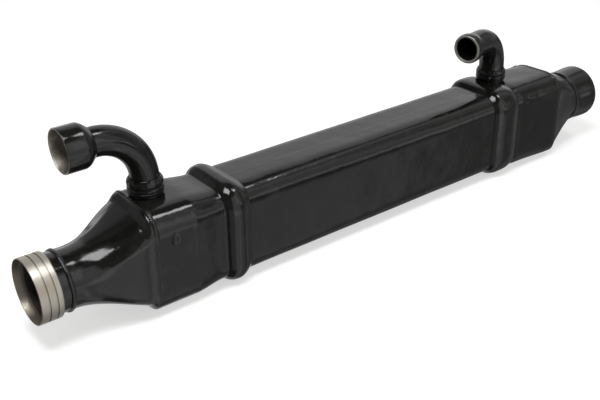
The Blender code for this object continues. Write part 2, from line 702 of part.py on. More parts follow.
def build():
    for leftover in list(bpy.data.objects):
        bpy.data.objects.remove(leftover, do_unlink=True)
    gas_inlet_ring()
    inlet_neck()
    round_weld("neck_weld", NECK_FINISH + TOUCH / 2, NECK_DIAMETER / 2, WELD_HEIGHT)
    inlet_diffuser()
    tank_weld("diffuser_weld", FRONT_TANK_START - TOUCH / 2, WELD_HEIGHT)
    front_coolant_tank()
    core_shell()
    rear_coolant_tank()
    tank_weld("cone_weld", REAR_TANK_FINISH + TOUCH / 2, REAR_WELD_HEIGHT)
    outlet_cone()
    round_weld("pipe_weld", CONE_FINISH + TOUCH / 2, PIPE_DIAMETER / 2, REAR_WELD_HEIGHT)
    outlet_pipe()
    header_plate("front_header_plate", FRONT_PLATE)
    header_plate("rear_header_plate", REAR_PLATE)
    for row in range(TUBE_ROWS):
        gas_tube(row)
    for number in range(BAFFLE_COUNT):
        comb_baffle(number)
    port_boss("front_port_boss", FRONT_PORT, FRONT_ELBOW_DIAMETER)
    port_ferrule("front_port_ferrule", FRONT_PORT, FRONT_ELBOW_DIAMETER, FRONT_FERRULE_LENGTH)
    elbow("front_coolant_elbow", FRONT_PORT, FRONT_ELBOW_DIAMETER, front_path())
    elbow_bell()
    port_boss("rear_port_boss", REAR_PORT, REAR_ELBOW_DIAMETER)
    port_ferrule("rear_port_ferrule", REAR_PORT, REAR_ELBOW_DIAMETER, REAR_FERRULE_LENGTH)
    elbow("rear_coolant_elbow", REAR_PORT, REAR_ELBOW_DIAMETER, rear_path(),
          mouth_lip(), mouth_seat())


if __name__ == "__main__":
    build()
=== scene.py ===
"""Visual model of an exhaust gas cooler, dressed over the smooth forms of its CAD frame.

Every length is in metres in the frame's own axes: the gas flows along +X, the coolant ports stand
on top at +Z. Each operator makes one piece, or one group of like pieces, from numpy surfaces, and
the last one lays out the studio. Stations along the gas path are read from the CAD nodes' boxes.
"""
import math
from collections import namedtuple

import bpy
import bmesh
import numpy as np
from mathutils import Matrix, Vector


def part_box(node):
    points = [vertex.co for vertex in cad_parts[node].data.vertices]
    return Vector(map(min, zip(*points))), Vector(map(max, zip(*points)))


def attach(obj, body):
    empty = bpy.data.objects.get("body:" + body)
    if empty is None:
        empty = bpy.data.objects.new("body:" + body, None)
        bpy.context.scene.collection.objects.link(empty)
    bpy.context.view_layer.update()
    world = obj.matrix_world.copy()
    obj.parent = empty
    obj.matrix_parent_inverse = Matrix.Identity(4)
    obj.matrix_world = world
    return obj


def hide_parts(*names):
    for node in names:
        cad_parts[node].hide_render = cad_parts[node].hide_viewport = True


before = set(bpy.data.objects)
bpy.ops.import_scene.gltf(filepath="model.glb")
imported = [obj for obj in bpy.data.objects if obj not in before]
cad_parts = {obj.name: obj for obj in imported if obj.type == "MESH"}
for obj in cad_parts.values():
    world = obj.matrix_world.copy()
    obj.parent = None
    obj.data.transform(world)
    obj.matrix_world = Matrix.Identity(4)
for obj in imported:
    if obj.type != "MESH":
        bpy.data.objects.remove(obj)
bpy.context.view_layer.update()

bl_info = {
    "name": "Exhaust gas cooler",
    "version": (1, 0, 0),
    "blender": (4, 5, 0),
    "location": "3D View > Sidebar > Cooler",
    "description": "Builds a black painted exhaust gas cooler around its CAD frame",
    "category": "Mesh",
}


def low(node):
    return np.array(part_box(node)[0])


def high(node):
    return np.array(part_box(node)[1])


def span(node, axis=0):
    """A node's lowest and highest place along an axis, the gas axis unless another is named."""
    return float(low(node)[axis]), float(high(node)[axis])


# The gas axis runs along X at this height
GAS_START = float(low("gas_inlet_ring")[0])
AXIS_HEIGHT = sum(span("gas_inlet_ring", 2)) / 2
PAINT_SLOT = "gloss_black_paint"
TURNED_SLOT = "machined_stainless"

# Points round a section: at each corner, along the wide top, along the tall side
CORNER_POINTS = 18
WIDE_POINTS = 26
TALL_POINTS = 52

# Play between pieces that are pressed together, and how far a weld sinks into the sheet
FIT = 0.00015
WELD_TOUCH = 0.0001
# Distance between the scales of the welds, round a tube and round a tank
ROUND_PITCH = 0.0019
SEAM_PITCH = 0.0021
# How far a corner's curve reaches along each side, over the corner's radius
CORNER_LEG = 1.32
# Radii of the coolant elbows. The rear one is turned out of the axes, so no box shows its own
FRONT_TUBE = float(high("front_coolant_elbow")[1] - low("front_coolant_elbow")[1]) / 2
REAR_TUBE = 0.0151
# A tank's form along its length: the lengths of its body, its taper and its bead, the depth of
# the valley before the bead, the powers of the bead's profile, and the depth and height of ribs
TankForm = namedtuple("TankForm", "body taper bead valley powers ribs")
# A dimple's place from the gas end and above the axis, and its size
Dimple = namedtuple("Dimple", "inset height radius depth")
# Distance from a joint over which the waves of the sheet fade in
WAVE_FADE = 0.025
# The camera's lens, place, and azimuth, elevation and roll in degrees
LENS = 54.66
CAMERA_PLACE = (-0.6156, -0.6900, 0.5022)
CAMERA_ANGLES = (-37.72, 27.65, -0.81)


class CoolerSizes(bpy.types.PropertyGroup):
    """Sizes of the pressed, turned and bent forms."""

    shell_corner: bpy.props.FloatProperty(
        name="Shell corner", description="Radius of the long shell's corners",
        default=0.0186, unit='LENGTH')
    tank_corner: bpy.props.FloatProperty(
        name="Tank corner", description="Radius of the coolant tanks' corners",
        default=0.0212, unit='LENGTH')
    tank_relief: bpy.props.FloatProperty(
        name="Tank relief", description="How far a tank's sides fall away at its corners",
        default=0.0003, unit='LENGTH')
    bead_height: bpy.props.FloatProperty(
        name="Bead height", description="Height of the tank beads above the shell",
        default=0.0062, unit='LENGTH')
    sheet_wall: bpy.props.FloatProperty(
        name="Sheet thickness", description="Thickness of the tanks, ducts and neck",
        default=0.0018, unit='LENGTH')
    tube_wall: bpy.props.FloatProperty(
        name="Tube thickness", description="Wall of the coolant elbows",
        default=0.0015, unit='LENGTH')
    weld_width: bpy.props.FloatProperty(
        name="Weld width", description="Width of the weld beads", default=0.0046, unit='LENGTH')
    weld_height: bpy.props.FloatProperty(
        name="Weld height", description="Height of the welds at the gas inlet", default=0.0014,
        unit='LENGTH')
    rear_weld_height: bpy.props.FloatProperty(
        name="Rear weld height", description="Height of the flatter welds at the gas outlet",
        default=0.0007, unit='LENGTH')
    unevenness: bpy.props.FloatProperty(
        name="Unevenness", description="Slow waves left in the sheet by pressing and welding",
        default=0.00012, unit='LENGTH')


class CoolerFinish(bpy.types.PropertyGroup):
    """Colours of the paint and of the bare metal."""

    paint: bpy.props.FloatVectorProperty(
        name="Paint", description="Black gloss paint", subtype='COLOR',
        default=(0.0058, 0.0056, 0.0052))
    turned: bpy.props.FloatVectorProperty(
        name="Turned steel", description="Bare steel of the inlet ring", subtype='COLOR',
        default=(0.41, 0.388, 0.348))
    soot: bpy.props.FloatVectorProperty(
        name="Soot", description="Heat stain and soot in the gas path", subtype='COLOR',
        default=(0.15, 0.128, 0.108))
    sheet: bpy.props.FloatVectorProperty(
        name="Tube sheet", description="Brazed stainless sheet of the gas tubes", subtype='COLOR',
        default=(0.46, 0.44, 0.41))
    floor: bpy.props.FloatVectorProperty(
        name="Floor", description="Pale studio floor", subtype='COLOR',
        default=(0.55, 0.55, 0.547))


class CoolerStudio(bpy.types.PropertyGroup):
    """Strength of the studio's lights."""

    key_power: bpy.props.FloatProperty(
        name="Overhead light", description="Power of the large soft light above", default=19.0,
        unit='POWER')
    key_size: bpy.props.FloatProperty(
        name="Overhead size", description="Side of the soft light above", default=0.72,
        unit='LENGTH')
    surround: bpy.props.FloatProperty(
        name="Surround", description="Brightness of the room and its panels", default=1.0)
    floor_glow: bpy.props.FloatProperty(
        name="Floor glow", description="Light given off by the floor, which lifts its shadows",
        default=1.05)


# Shader arithmetic

class Signal:
    """A node's output that adds Math nodes when it is used in arithmetic."""

    def __init__(self, book, socket):
        self.book = book
        self.socket = socket

    def math(self, operation, *values):
        return self.book.node('ShaderNodeMath', {'operation': operation}, dict(enumerate(values)))

    def __add__(self, other):
        return self.math('ADD', self, other)

    def __radd__(self, other):
        return self.math('ADD', other, self)

    def __sub__(self, other):
        return self.math('SUBTRACT', self, other)

    def __rsub__(self, other):
        return self.math('SUBTRACT', other, self)

    def __mul__(self, other):
        return self.math('MULTIPLY', self, other)

    def __rmul__(self, other):
        return self.math('MULTIPLY', other, self)

    def __pow__(self, other):
        return self.math('POWER', self, other)

    def __abs__(self):
        return self.math('ABSOLUTE', self)

    def least(self, other):
        return self.math('MINIMUM', self, other)

    def step(self, start, end):
        """0 below start, 1 above end, and a smooth rise between them."""
        return self.book.node('ShaderNodeMapRange', {'interpolation_type': 'SMOOTHSTEP'},
                              {'Value': self, 'From Min': start, 'From Max': end})


class NodeBook:
    """The nodes of one material or world."""

    def __init__(self, tree):
        self.tree = tree

    def node(self, kind, settings=None, sockets=None, output=0):
        """Adds a node: first its settings, then the values or links of its sockets."""
        made = self.tree.nodes.new(kind)
        for name, value in (settings or {}).items():
            setattr(made, name, value)
        self.fill(made, sockets or {})
        return Signal(self, made.outputs[output])

    def fill(self, node, sockets):
        for key, value in sockets.items():
            if isinstance(value, Signal):
                self.tree.links.new(value.socket, node.inputs[key])
            else:
                node.inputs[key].default_value = value

    def parts(self, vector):
        """The three numbers of a vector."""
        made = self.tree.nodes.new('ShaderNodeSeparateXYZ')
        self.fill(made, {0: vector})
        return [Signal(self, socket) for socket in made.outputs]

    def vector(self, x, y, z):
        return self.node('ShaderNodeCombineXYZ', None, {0: x, 1: y, 2: z})

    def scaled(self, vector, x, y, z):
        return self.node('ShaderNodeVectorMath', {'operation': 'MULTIPLY'},
                         {0: vector, 1: (x, y, z)})

    def place(self):
        return self.node('ShaderNodeTexCoord', None, None, 'Object')

    def noise(self, vector, scale, detail=2.0, roughness=0.5):
        return self.node('ShaderNodeTexNoise', None, {
            'Vector': vector, 'Scale': scale, 'Detail': detail, 'Roughness': roughness})

    def blend(self, share, first, second):
        """A colour between two others."""
        return self.node('ShaderNodeMix', {'data_type': 'RGBA'},
                         {0: share, 6: self.colour(first), 7: self.colour(second)}, 2)

    def colour(self, value):
        return value if isinstance(value, Signal) else (*value, 1.0)

    def bump(self, height, distance, strength=1.0, normal=None):
        sockets = {'Height': height, 'Distance': distance, 'Strength': strength}
        if normal:
            sockets['Normal'] = normal
        return self.node('ShaderNodeBump', None, sockets)

    def mark(self, name):
        """A number stored with each point of the piece."""
        return self.node('ShaderNodeAttribute', {'attribute_name': name}, None, 'Fac')


def new_finish(name, constants):
    """A material with its book of nodes and its shader, the fixed values set on the shader."""
    made = bpy.data.materials.new(name)
    made.use_nodes = True
    book = NodeBook(made.node_tree)
    shader = made.node_tree.nodes["Principled BSDF"]
    book.fill(shader, constants)
    return made, book, shader


# Finishes

def paint_nodes(book, colour, wave, peel, seed):
    """Black gloss: slow waves of the metal under it, orange peel, and a faint haze of dust."""
    place = book.node('ShaderNodeVectorMath', {'operation': 'ADD'},
                      {0: book.place(), 1: (seed, 2 * seed, 3 * seed)})
    slow = book.noise(place, 17.0, 1.0)
    middle = book.noise(place, 62.0, 2.0)
    skin = book.noise(place, 780.0, 1.0)
    grain = book.noise(place, 2600.0, 1.0)
    smear = book.noise(place, 38.0, 4.0, 0.6)
    haze = smear.step(0.48, 0.72)
    settled = book.blend(haze * 0.35, colour, tuple(3.2 * c for c in colour))
    relief = slow * (4.0 * wave) + middle * wave + skin * (0.045 * peel) + grain * (0.006 * peel)
    return settled, 0.085 + haze * 0.05 + skin * 0.02, book.bump(relief, 0.001)


def paint(name, wave, peel, seed=0.0, seam=None):
    """Painted steel, waved by pressing or smooth over turned metal, with the fine dressed seam of
    a folded shell along its top at the place across that is given."""
    colours = bpy.context.scene.cooler_finish
    made, book, shader = new_finish(name, {'IOR': 1.41})
    colour, roughness, normal = paint_nodes(book, tuple(colours.paint), wave, peel, seed)
    if seam is not None:
        y, z = book.parts(book.place())[1:]
        bead = 1 - abs(y - seam + (book.noise(book.place(), 90.0) - 0.5) * 0.0006).step(0.0, 0.0011)
        normal = book.bump(bead * (z - AXIS_HEIGHT).step(0.03, 0.04), 0.00011, 1.0, normal)
    book.fill(shader, {'Base Color': colour, 'Roughness': roughness, 'Normal': normal})
    return made


def paint_over_bare(name, wave, peel, bare_colour, bare_roughness):
    """Paint outside and bare or sooty metal where the piece's own mark 'bare' is 1."""
    colours = bpy.context.scene.cooler_finish
    made, book, shader = new_finish(name, {'IOR': 1.41})
    colour, roughness, normal = paint_nodes(book, tuple(colours.paint), wave, peel, 0.7)
    place = book.place()
    bare = book.mark("bare")
    edge = (bare + (book.noise(place, 420.0, 3.0) - 0.5) * 0.5).step(0.38, 0.62)
    stain = book.noise(place, 55.0, 5.0, 0.65).step(0.35, 0.7)
    dark = tuple(0.42 * c for c in bare_colour)
    metal = book.blend(stain, bare_colour, dark)
    mark = book.noise(book.scaled(place, 1.0, 0.06, 0.06), 2400.0, 2.0)
    rough = bare_roughness + stain * 0.18 + mark * 0.12
    book.fill(shader, {
        'Base Color': book.blend(edge, colour, metal),
        'Roughness': roughness * (1 - edge) + rough * edge,
        'Metallic': edge * 0.92,
        'Normal': book.bump(mark * edge, 0.0002, 0.5, normal)})
    return made


def turned_steel(name):
    """Lathe-turned steel: fine rings round the gas axis, blotches of polish, a sooty bore, and
    painted shade in the ring grooves.
    """
    colours = bpy.context.scene.cooler_finish
    made, book, shader = new_finish(name, {'IOR': 1.5})
    place = book.place()
    x, y, z = book.parts(place)
    across = z - AXIS_HEIGHT
    radius = (y * y + across * across) ** 0.5
    bore = 1 - radius.step(0.0286, 0.0301)
    depth = (x - GAS_START).step(0.0005, 0.0065)
    stain = book.noise(place, 95.0, 4.0, 0.6)
    patch = book.noise(place, 52.0, 3.0, 0.6).step(0.42, 0.66)
    turning = book.noise(book.vector(x, y * 0.02, across * 0.02), 5200.0, 2.0, 0.7)
    facing = book.noise(book.vector(radius, y * 0.02, across * 0.02), 5200.0, 2.0, 0.7)
    steel = tuple(colours.turned)
    warm = tuple(c * k for c, k in zip(steel, (0.93, 0.84, 0.70)))
    outer = book.blend(patch * 0.55 + turning * 0.3, steel, warm)
    sooty = book.blend(stain.step(0.3, 0.75), tuple(colours.soot), (0.20, 0.15, 0.11))
    inside = bore.least(depth)
    # Painted shade: the floors of the ring grooves are darkened toward dark brown, outside the bore
    groove = 1 - radius.step(0.0308, 0.0317)
    groove_shaded_steel = book.blend(groove * (1 - inside) * 0.45, outer, (0.16, 0.13, 0.10))
    book.fill(shader, {
        'Base Color': book.blend(inside, groove_shaded_steel, sooty),
        'Metallic': 1 - inside * 0.45,
        'Roughness': 0.34 + patch * 0.10 + turning * 0.12 + inside * 0.18,
        'Normal': book.bump(turning + facing, 0.00006, 0.8)})
    return made


def brazed_sheet(name, seed):
    """Stainless sheet drawn along the gas path, tinted straw and blue by brazing."""
    colours = bpy.context.scene.cooler_finish
    made, book, shader = new_finish(name, {'IOR': 1.5, 'Metallic': 1.0})
    place = book.place()
    drawn = book.noise(book.scaled(place, 0.02, 1.0, 1.0), 2600.0 + seed, 2.0, 0.6)
    heat = book.noise(place, 26.0 + seed, 3.0, 0.55)
    sheet = tuple(colours.sheet)
    straw = book.blend(heat.step(0.4, 0.62), sheet, (0.40, 0.31, 0.19))
    tinted = book.blend(heat.step(0.62, 0.78) * 0.6, straw, (0.17, 0.17, 0.24))
    book.fill(shader, {
        'Base Color': tinted,
        'Roughness': 0.30 + drawn * 0.16 + heat * 0.08,
        'Normal': book.bump(drawn, 0.00008, 0.6)})
    return made


# Surfaces

def smooth(share):
    """The cubic that rises from 0 to 1 with level ends."""
    share = np.clip(share, 0.0, 1.0)
    return share * share * (3 - 2 * share)


def eased(curve, stations, reach):
    """A curve averaged over a raised-cosine window, which rounds its breaks over that reach."""
    share = np.linspace(-1, 1, 21)
    weight = 1 + np.cos(np.pi * share)
    return curve(stations[:, None] + reach * share) @ (weight / weight.sum())


def crowded(start, end, count, focus=0.0, width=1.0, gain=0.0):
    """Positions from start to end, closer together round a focus: even steps of the running sum
    of 1 + gain times a bell curve of that width."""
    fine = np.linspace(start, end, 2000)
    density = 1 + gain * np.exp(-((fine - focus) / width) ** 2)
    running = np.concatenate([[0.0], np.cumsum((density[1:] + density[:-1]) / 2)])
    return np.interp(np.linspace(0, running[-1], count), running, fine)


def softened(outline, reach, steps=6):
    """A closed outline of (along, radius) corners, each corner replaced by a parabola drawn
    between points set back by its own reach, with a guard point just outside each end."""
    corner = np.array(outline, float)
    reach = np.broadcast_to(np.asarray(reach, float), len(corner))[:, None, None]
    before = np.roll(corner, 1, 0) - corner
    after = np.roll(corner, -1, 0) - corner
    before = (before / np.linalg.norm(before, axis=1)[:, None])[:, None]
    after = (after / np.linalg.norm(after, axis=1)[:, None])[:, None]
    t = np.linspace(0, 1, steps)[None, :, None]
    centre = corner[:, None]
    curve = centre + reach * ((1 - t) ** 2 * before + t * t * after)
    first = centre + 1.35 * reach * before
    last = centre + 1.35 * reach * after
    return np.concatenate([first, curve, last], axis=1).reshape(-1, 2)


def turned(profile, origin, axis, steps, start=(0.0, 0.0, 1.0)):
    """A profile of (along, radius) points carried round an axis: origin plus along times the
    axis plus radius times the turning direction."""
    axis = np.array(axis, float)
    first = np.array(start, float)
    first = first - axis * (first @ axis)
    first /= np.linalg.norm(first)
    second = np.cross(axis, first)
    turn = np.arange(steps) * 2 * np.pi / steps
    spoke = np.cos(turn)[:, None] * first + np.sin(turn)[:, None] * second
    along, radius = np.asarray(profile).T
    return np.array(origin) + along[:, None, None] * axis + radius[:, None, None] * spoke


def swept(centres, directions, radii, side, steps):
    """Rings of each radius about each centre, square to its direction: the centre plus radius
    times the cosine of the side direction and the sine of the direction across both."""
    turn = np.arange(steps) * 2 * np.pi / steps
    across = np.cross(side, directions)
    spoke = (np.cos(turn)[None, :, None] * np.asarray(side)
             + np.sin(turn)[None, :, None] * across[:, None, :])
    return centres[:, None, :] + np.asarray(radii)[..., None, None] * spoke


def soft_corner():
    """A quarter turn whose heading follows a smooth step from 0 to 90 degrees, summed up into a
    curve from (1, 0) to (0, 1); its curvature starts and ends at nothing."""
    share = np.linspace(0, 1, 600)
    heading = np.pi / 2 * smooth(share)
    step = np.column_stack([-np.sin(heading), np.cos(heading)])
    path = np.concatenate([[[0.0, 0.0]], np.cumsum(step[1:] + step[:-1], axis=0)])
    path = path / path[-1, 1] + (1.0, 0.0)
    taken = np.linspace(0, 1, CORNER_POINTS + 1)
    return np.column_stack([np.interp(taken, share, path[:, k]) for k in (0, 1)])


CORNER_SIGNS = np.array([[1, 1], [-1, 1], [-1, -1], [1, -1]], float)


def perimeter(focus=None):
    """Walks a section from its upper +Y corner over the top. Each point is the corner's inner
    centre times one pair of numbers plus the corner's reach times another, and has a nominal
    angle for the round end of a duct. Down the near side the points crowd round a focus."""
    curve = soft_corner()
    centres, reaches, angles = [], [], []
    taken = np.linspace(-0.5, 0.5, CORNER_POINTS + 1)
    for quarter in range(4):
        turn = quarter * math.pi / 2
        spin = np.array([[math.cos(turn), math.sin(turn)], [-math.sin(turn), math.cos(turn)]])
        centres.append(np.tile(CORNER_SIGNS[quarter], (CORNER_POINTS + 1, 1)))
        reaches.append(curve @ spin)
        angles.append(math.radians(45 + 90 * quarter) + taken * math.radians(360 / 7))
        tall = quarter in (1, 3)
        count = TALL_POINTS if tall else WIDE_POINTS
        share = crowded(0, 1, count + 2)
        if focus is not None and quarter == 1:
            share = crowded(0, 1, count + 2, focus, 0.07, 5.0)
        share = share[1:-1, None]
        centres.append((1 - share) * CORNER_SIGNS[quarter]
                       + share * CORNER_SIGNS[(quarter + 1) % 4])
        reaches.append(np.tile(curve[-1] @ spin, (count, 1)))
        angles.append(math.radians(90 + 90 * quarter)
                      + (share[:, 0] - 0.5) * math.radians(270 / 7))
    return np.concatenate(centres), np.concatenate(reaches), np.concatenate(angles)


# Share of the nominal corner taken by the far upper, near upper, near lower and far lower one
SHELL_SHARES = (0.74, 1.0, 0.90, 0.74)
FRONT_SHARES = (0.64, 1.0, 0.92, 0.64)
REAR_SHARES = (1.25, 1.0, 0.66, 0.64)


def corner_shares(centres, shares):
    """The four corners' shares blended over the section by the place of each point's centre."""
    weight = np.prod(1 + centres[:, None, :] * CORNER_SIGNS[None], -1) / 4
    return weight @ np.array(shares)


def section(around, half_width, half_height, corner, relief, shares, offset=0.0):
    """Rows of rounded rectangles: inner corner centre plus reach, pushed out by the offset, and
    drawn in by the relief times the place across times the fourth power of the place along. The
    shares tighten or loosen each corner. Every size is one number, or one for each row."""
    centres, reaches = around[:2]
    half = np.stack(np.broadcast_arrays(*np.atleast_1d(half_width, half_height)), -1)[:, None, :]
    leg = (CORNER_LEG * np.atleast_1d(corner)[:, None] * shares)[..., None]
    out = np.atleast_2d(offset)[..., None]
    flat = (half - leg) * centres + (leg + out) * reaches
    lean = np.clip(flat / half, -1.1, 1.1)
    return flat - lean * np.atleast_1d(relief)[:, None, None] * lean[..., ::-1] ** 4


def walked(flat):
    """Distance walked round a closed section to each of its points, and back to the first."""
    gap = np.linalg.norm(np.diff(np.concatenate([flat, flat[:1]]), axis=0), axis=1)
    return np.concatenate([[0.0], np.cumsum(gap)])


def uneven(stations, around_length, amount, seed):
    """A slow random field: a sum of waves of 50 to 160 mm with seeded phases, over the stations
    and the distance round the section, lowered so that it only ever draws the sheet inward."""
    dice = np.random.default_rng(seed)
    total = np.zeros((len(stations), around_length))
    place = np.arange(around_length) / around_length * 2 * np.pi
    for _ in range(9):
        count = dice.integers(1, 7)
        wave = 2 * np.pi / dice.uniform(0.05, 0.16)
        phase = dice.uniform(0, 2 * np.pi, 2)
        total += (np.cos(wave * stations[:, None] + phase[0])
                  * np.cos(count * place[None, :] + phase[1]))
    return amount * (total - total.max()) / 3


def placed(stations, flat):
    """Section rows set at their stations along the gas axis."""
    x = np.broadcast_to(np.asarray(stations)[:, None], flat.shape[:2])
    return np.stack([x, flat[..., 0], flat[..., 1] + AXIS_HEIGHT], -1)


def skin(name, grid, finish, slot, nodes, marks=None):
    """A closed surface over a grid that joins up both ways: each cell spans a point, the next
    one round, and the same two on the next row. Faces point outward by the sign of the volume."""
    rows, columns = grid.shape[:2]
    index = np.arange(rows * columns).reshape(rows, columns)
    beside = np.roll(index, -1, 1)
    faces = np.stack([index, beside, np.roll(beside, -1, 0), np.roll(index, -1, 0)], -1)
    faces = faces.reshape(-1, 4)
    points = grid.reshape(-1, 3)
    a, b, c, d = (points[faces[:, k]] for k in range(4))
    volume = np.einsum('ij,ij->', a, np.cross(b, c) + np.cross(c, d))
    if volume < 0:
        faces = faces[:, ::-1]
    mesh = bpy.data.meshes.new(name)
    mesh.vertices.add(len(points))
    mesh.vertices.foreach_set("co", points.ravel())
    mesh.loops.add(faces.size)
    mesh.loops.foreach_set("vertex_index", faces.ravel())
    mesh.polygons.add(len(faces))
    mesh.polygons.foreach_set("loop_start", np.arange(len(faces)) * 4)
    mesh.update(calc_edges=True)
    mesh.shade_smooth()
    for mark, values in (marks or {}).items():
        layer = mesh.attributes.new(mark, 'FLOAT', 'POINT')
        layer.data.foreach_set("value", np.broadcast_to(values, (rows, columns)).ravel())
    mesh.materials.append(finish)
    piece = bpy.data.objects.new(name, mesh)
    bpy.context.scene.collection.objects.link(piece)
    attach(piece, "root")
    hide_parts(*nodes)
    return piece


def drill(piece, x, y, z, radius):
    """Takes a round upright hole through a piece's top wall."""
    mesh = bpy.data.meshes.new("drill")
    shape = bmesh.new()
    bmesh.ops.create_cone(shape, cap_ends=True, segments=96, radius1=radius, radius2=radius,
                          depth=0.05, matrix=Matrix.Translation((x, y, z)))
    shape.to_mesh(mesh)
    shape.free()
    tool = bpy.data.objects.new("drill", mesh)
    bpy.context.scene.collection.objects.link(tool)
    cut = piece.modifiers.new("hole", 'BOOLEAN')
    cut.operation = 'DIFFERENCE'
    cut.solver = 'MANIFOLD'
    cut.object = tool
    bpy.context.view_layer.update()
    result = bpy.data.meshes.new_from_object(
        piece.evaluated_get(bpy.context.evaluated_depsgraph_get()))
    piece.modifiers.remove(cut)
    old = piece.data
    piece.data = result
    bpy.data.meshes.remove(old)
    result.name = piece.name
    bpy.data.objects.remove(tool)
    bpy.data.meshes.remove(mesh)


def press(grid, x, z, radius, depth):
    """Presses a round dimple into the near side: a push of depth times (1 - d squared) squared,
    with d the distance from its centre over its radius."""
    away = ((grid[..., 0] - x) ** 2 + (grid[..., 2] - z) ** 2) / radius ** 2
    near = grid[..., 1] < 0
    grid[..., 1] += np.where(near, depth * np.clip(1 - away, 0, 1) ** 2, 0.0)
    return grid


# Pieces

class PieceMaker:
    """What every operator of this file shares."""

    bl_options = {'REGISTER', 'UNDO'}

    def execute(self, context):
        self.make(context.scene.cooler_sizes)
        return {'FINISHED'}


class COOLER_OT_inlet_ring(PieceMaker, bpy.types.Operator):
    """Turns the gas inlet ring with its two piston ring grooves and its chamfered mouth"""

    bl_idname = "cooler.inlet_ring"
    bl_label = "Inlet ring"

    def make(self, sizes):
        length = float(high("gas_inlet_ring")[0]) - GAS_START
        radius = float(high("gas_inlet_ring")[1])
        bore = float(high("inlet_neck")[1]) + FIT
        groove_starts, groove_width, groove_depth = (0.0075, 0.0149), 0.0014, 0.0009
        edge, lip, chamfer = 0.00035, 0.00105, 0.0067
        outline, reach = [(0.0, radius - edge), (edge, radius)], [0.00014, 0.00014]
        for start in groove_starts:
            end = start + groove_width
            outline += [(start, radius), (start, radius - groove_depth),
                        (end, radius - groove_depth), (end, radius)]
            reach += [0.00012, 0.0002, 0.0002, 0.00012]
        outline += [(length, radius), (length, bore), (chamfer, bore), (0.0, radius - lip)]
        reach += [0.0016, 0.0003, 0.0008, 0.00022]
        grid = turned(softened(outline, reach), (GAS_START, 0, AXIS_HEIGHT), (1, 0, 0), 256)
        skin("inlet_ring_turned", grid, turned_steel("ring_turned_steel"), TURNED_SLOT,
             ["gas_inlet_ring"])


class COOLER_OT_inlet_neck(PieceMaker, bpy.types.Operator):
    """Rolls the short neck behind the ring, painted outside and sooty inside"""

    bl_idname = "cooler.inlet_neck"
    bl_label = "Inlet neck"

    def make(self, sizes):
        start, end = span("inlet_neck")
        radius = float(high("inlet_neck")[1])
        inner = radius - sizes.sheet_wall
        outline = [(start, inner), (start, radius), (end, radius), (end, inner)]
        profile = softened(outline, [0.0004, 0.0004, 0.0003, 0.0003])
        bare = np.repeat([1.0, 1.0, 0.0, 1.0], 8)[:, None]
        bare[8:16] = np.where(profile[8:16, 0:1] < start + 0.001, 1.0, 0.0)
        grid = turned(profile, (0, 0, AXIS_HEIGHT), (1, 0, 0), 192)
        finish = paint_over_bare("neck_paint", 0.10, 0.6,
                                 tuple(bpy.context.scene.cooler_finish.soot), 0.45)
        skin("inlet_neck_rolled", grid, finish, PAINT_SLOT, ["inlet_neck"], {"bare": bare})


def weld_ripple(distance, across, pitch, seed):
    """Height of a weld over its middle: overlapping scales a pitch apart along the seam, bowed
    back with the square of the place across, and slow seeded changes of size."""
    dice = np.random.default_rng(seed)
    slow = sum(np.cos(2 * np.pi * distance / length + phase) for length, phase in
               zip(dice.uniform(0.006, 0.021, 5), dice.uniform(0, 2 * np.pi, 5))) / 5
    phase = distance / pitch + 0.55 * across ** 2 + 0.35 * slow
    scale = 2 * (phase - np.floor(phase)) - 1
    return 0.90 - 0.13 * scale ** 2 + 0.17 * slow


# Places across a weld from one toe to the other over its crown
WELD_PLACES = np.linspace(-1, 1, 15)[:, None]


def round_weld(name, node, crown, sizes, finish, seed):
    """A rippled weld round a tube: a half ellipse across, scaled by the ripple along."""
    middle = sum(span(node)) / 2
    base = float(high(node)[1]) - crown - WELD_TOUCH
    steps = 900
    turn = np.arange(steps) * 2 * np.pi / steps
    across = WELD_PLACES
    ripple = weld_ripple(base * turn[None, :], across, ROUND_PITCH, seed)
    wander = 0.0003 * np.cos(3 * turn + seed) + 0.0002 * np.cos(8 * turn)
    height = crown * np.sqrt(np.clip(1 - across ** 2, 0, 1)) * ripple
    top_x = middle + wander + across * sizes.weld_width / 2 * (0.92 + 0.1 * ripple)
    top_r = base + 0.0001 + height
    under_x = top_x[[-1, 0]]
    x = np.concatenate([top_x, under_x])
    radius = np.concatenate([top_r, np.full((2, steps), base - 0.0004)])
    grid = np.stack([x, radius * np.cos(turn), AXIS_HEIGHT + radius * np.sin(turn)], -1)
    skin(name, grid, finish, PAINT_SLOT, [node])


class COOLER_OT_round_welds(PieceMaker, bpy.types.Operator):
    """Lays the welds at the neck and at the outlet pipe"""

    bl_idname = "cooler.round_welds"
    bl_label = "Round welds"

    def make(self, sizes):
        finish = paint("weld_paint", 0.05, 1.6)
        round_weld("neck_weld_bead", "neck_weld", sizes.weld_height, sizes, finish, 3)
        round_weld("pipe_weld_bead", "pipe_weld", sizes.rear_weld_height, sizes, finish, 4)


def tank_half_sizes():
    """Half width and half height of the coolant tanks, which the diffuser's end meets."""
    end = high("inlet_diffuser")
    return float(end[1]), float(end[2]) - AXIS_HEIGHT


TANK_HALF = tank_half_sizes()


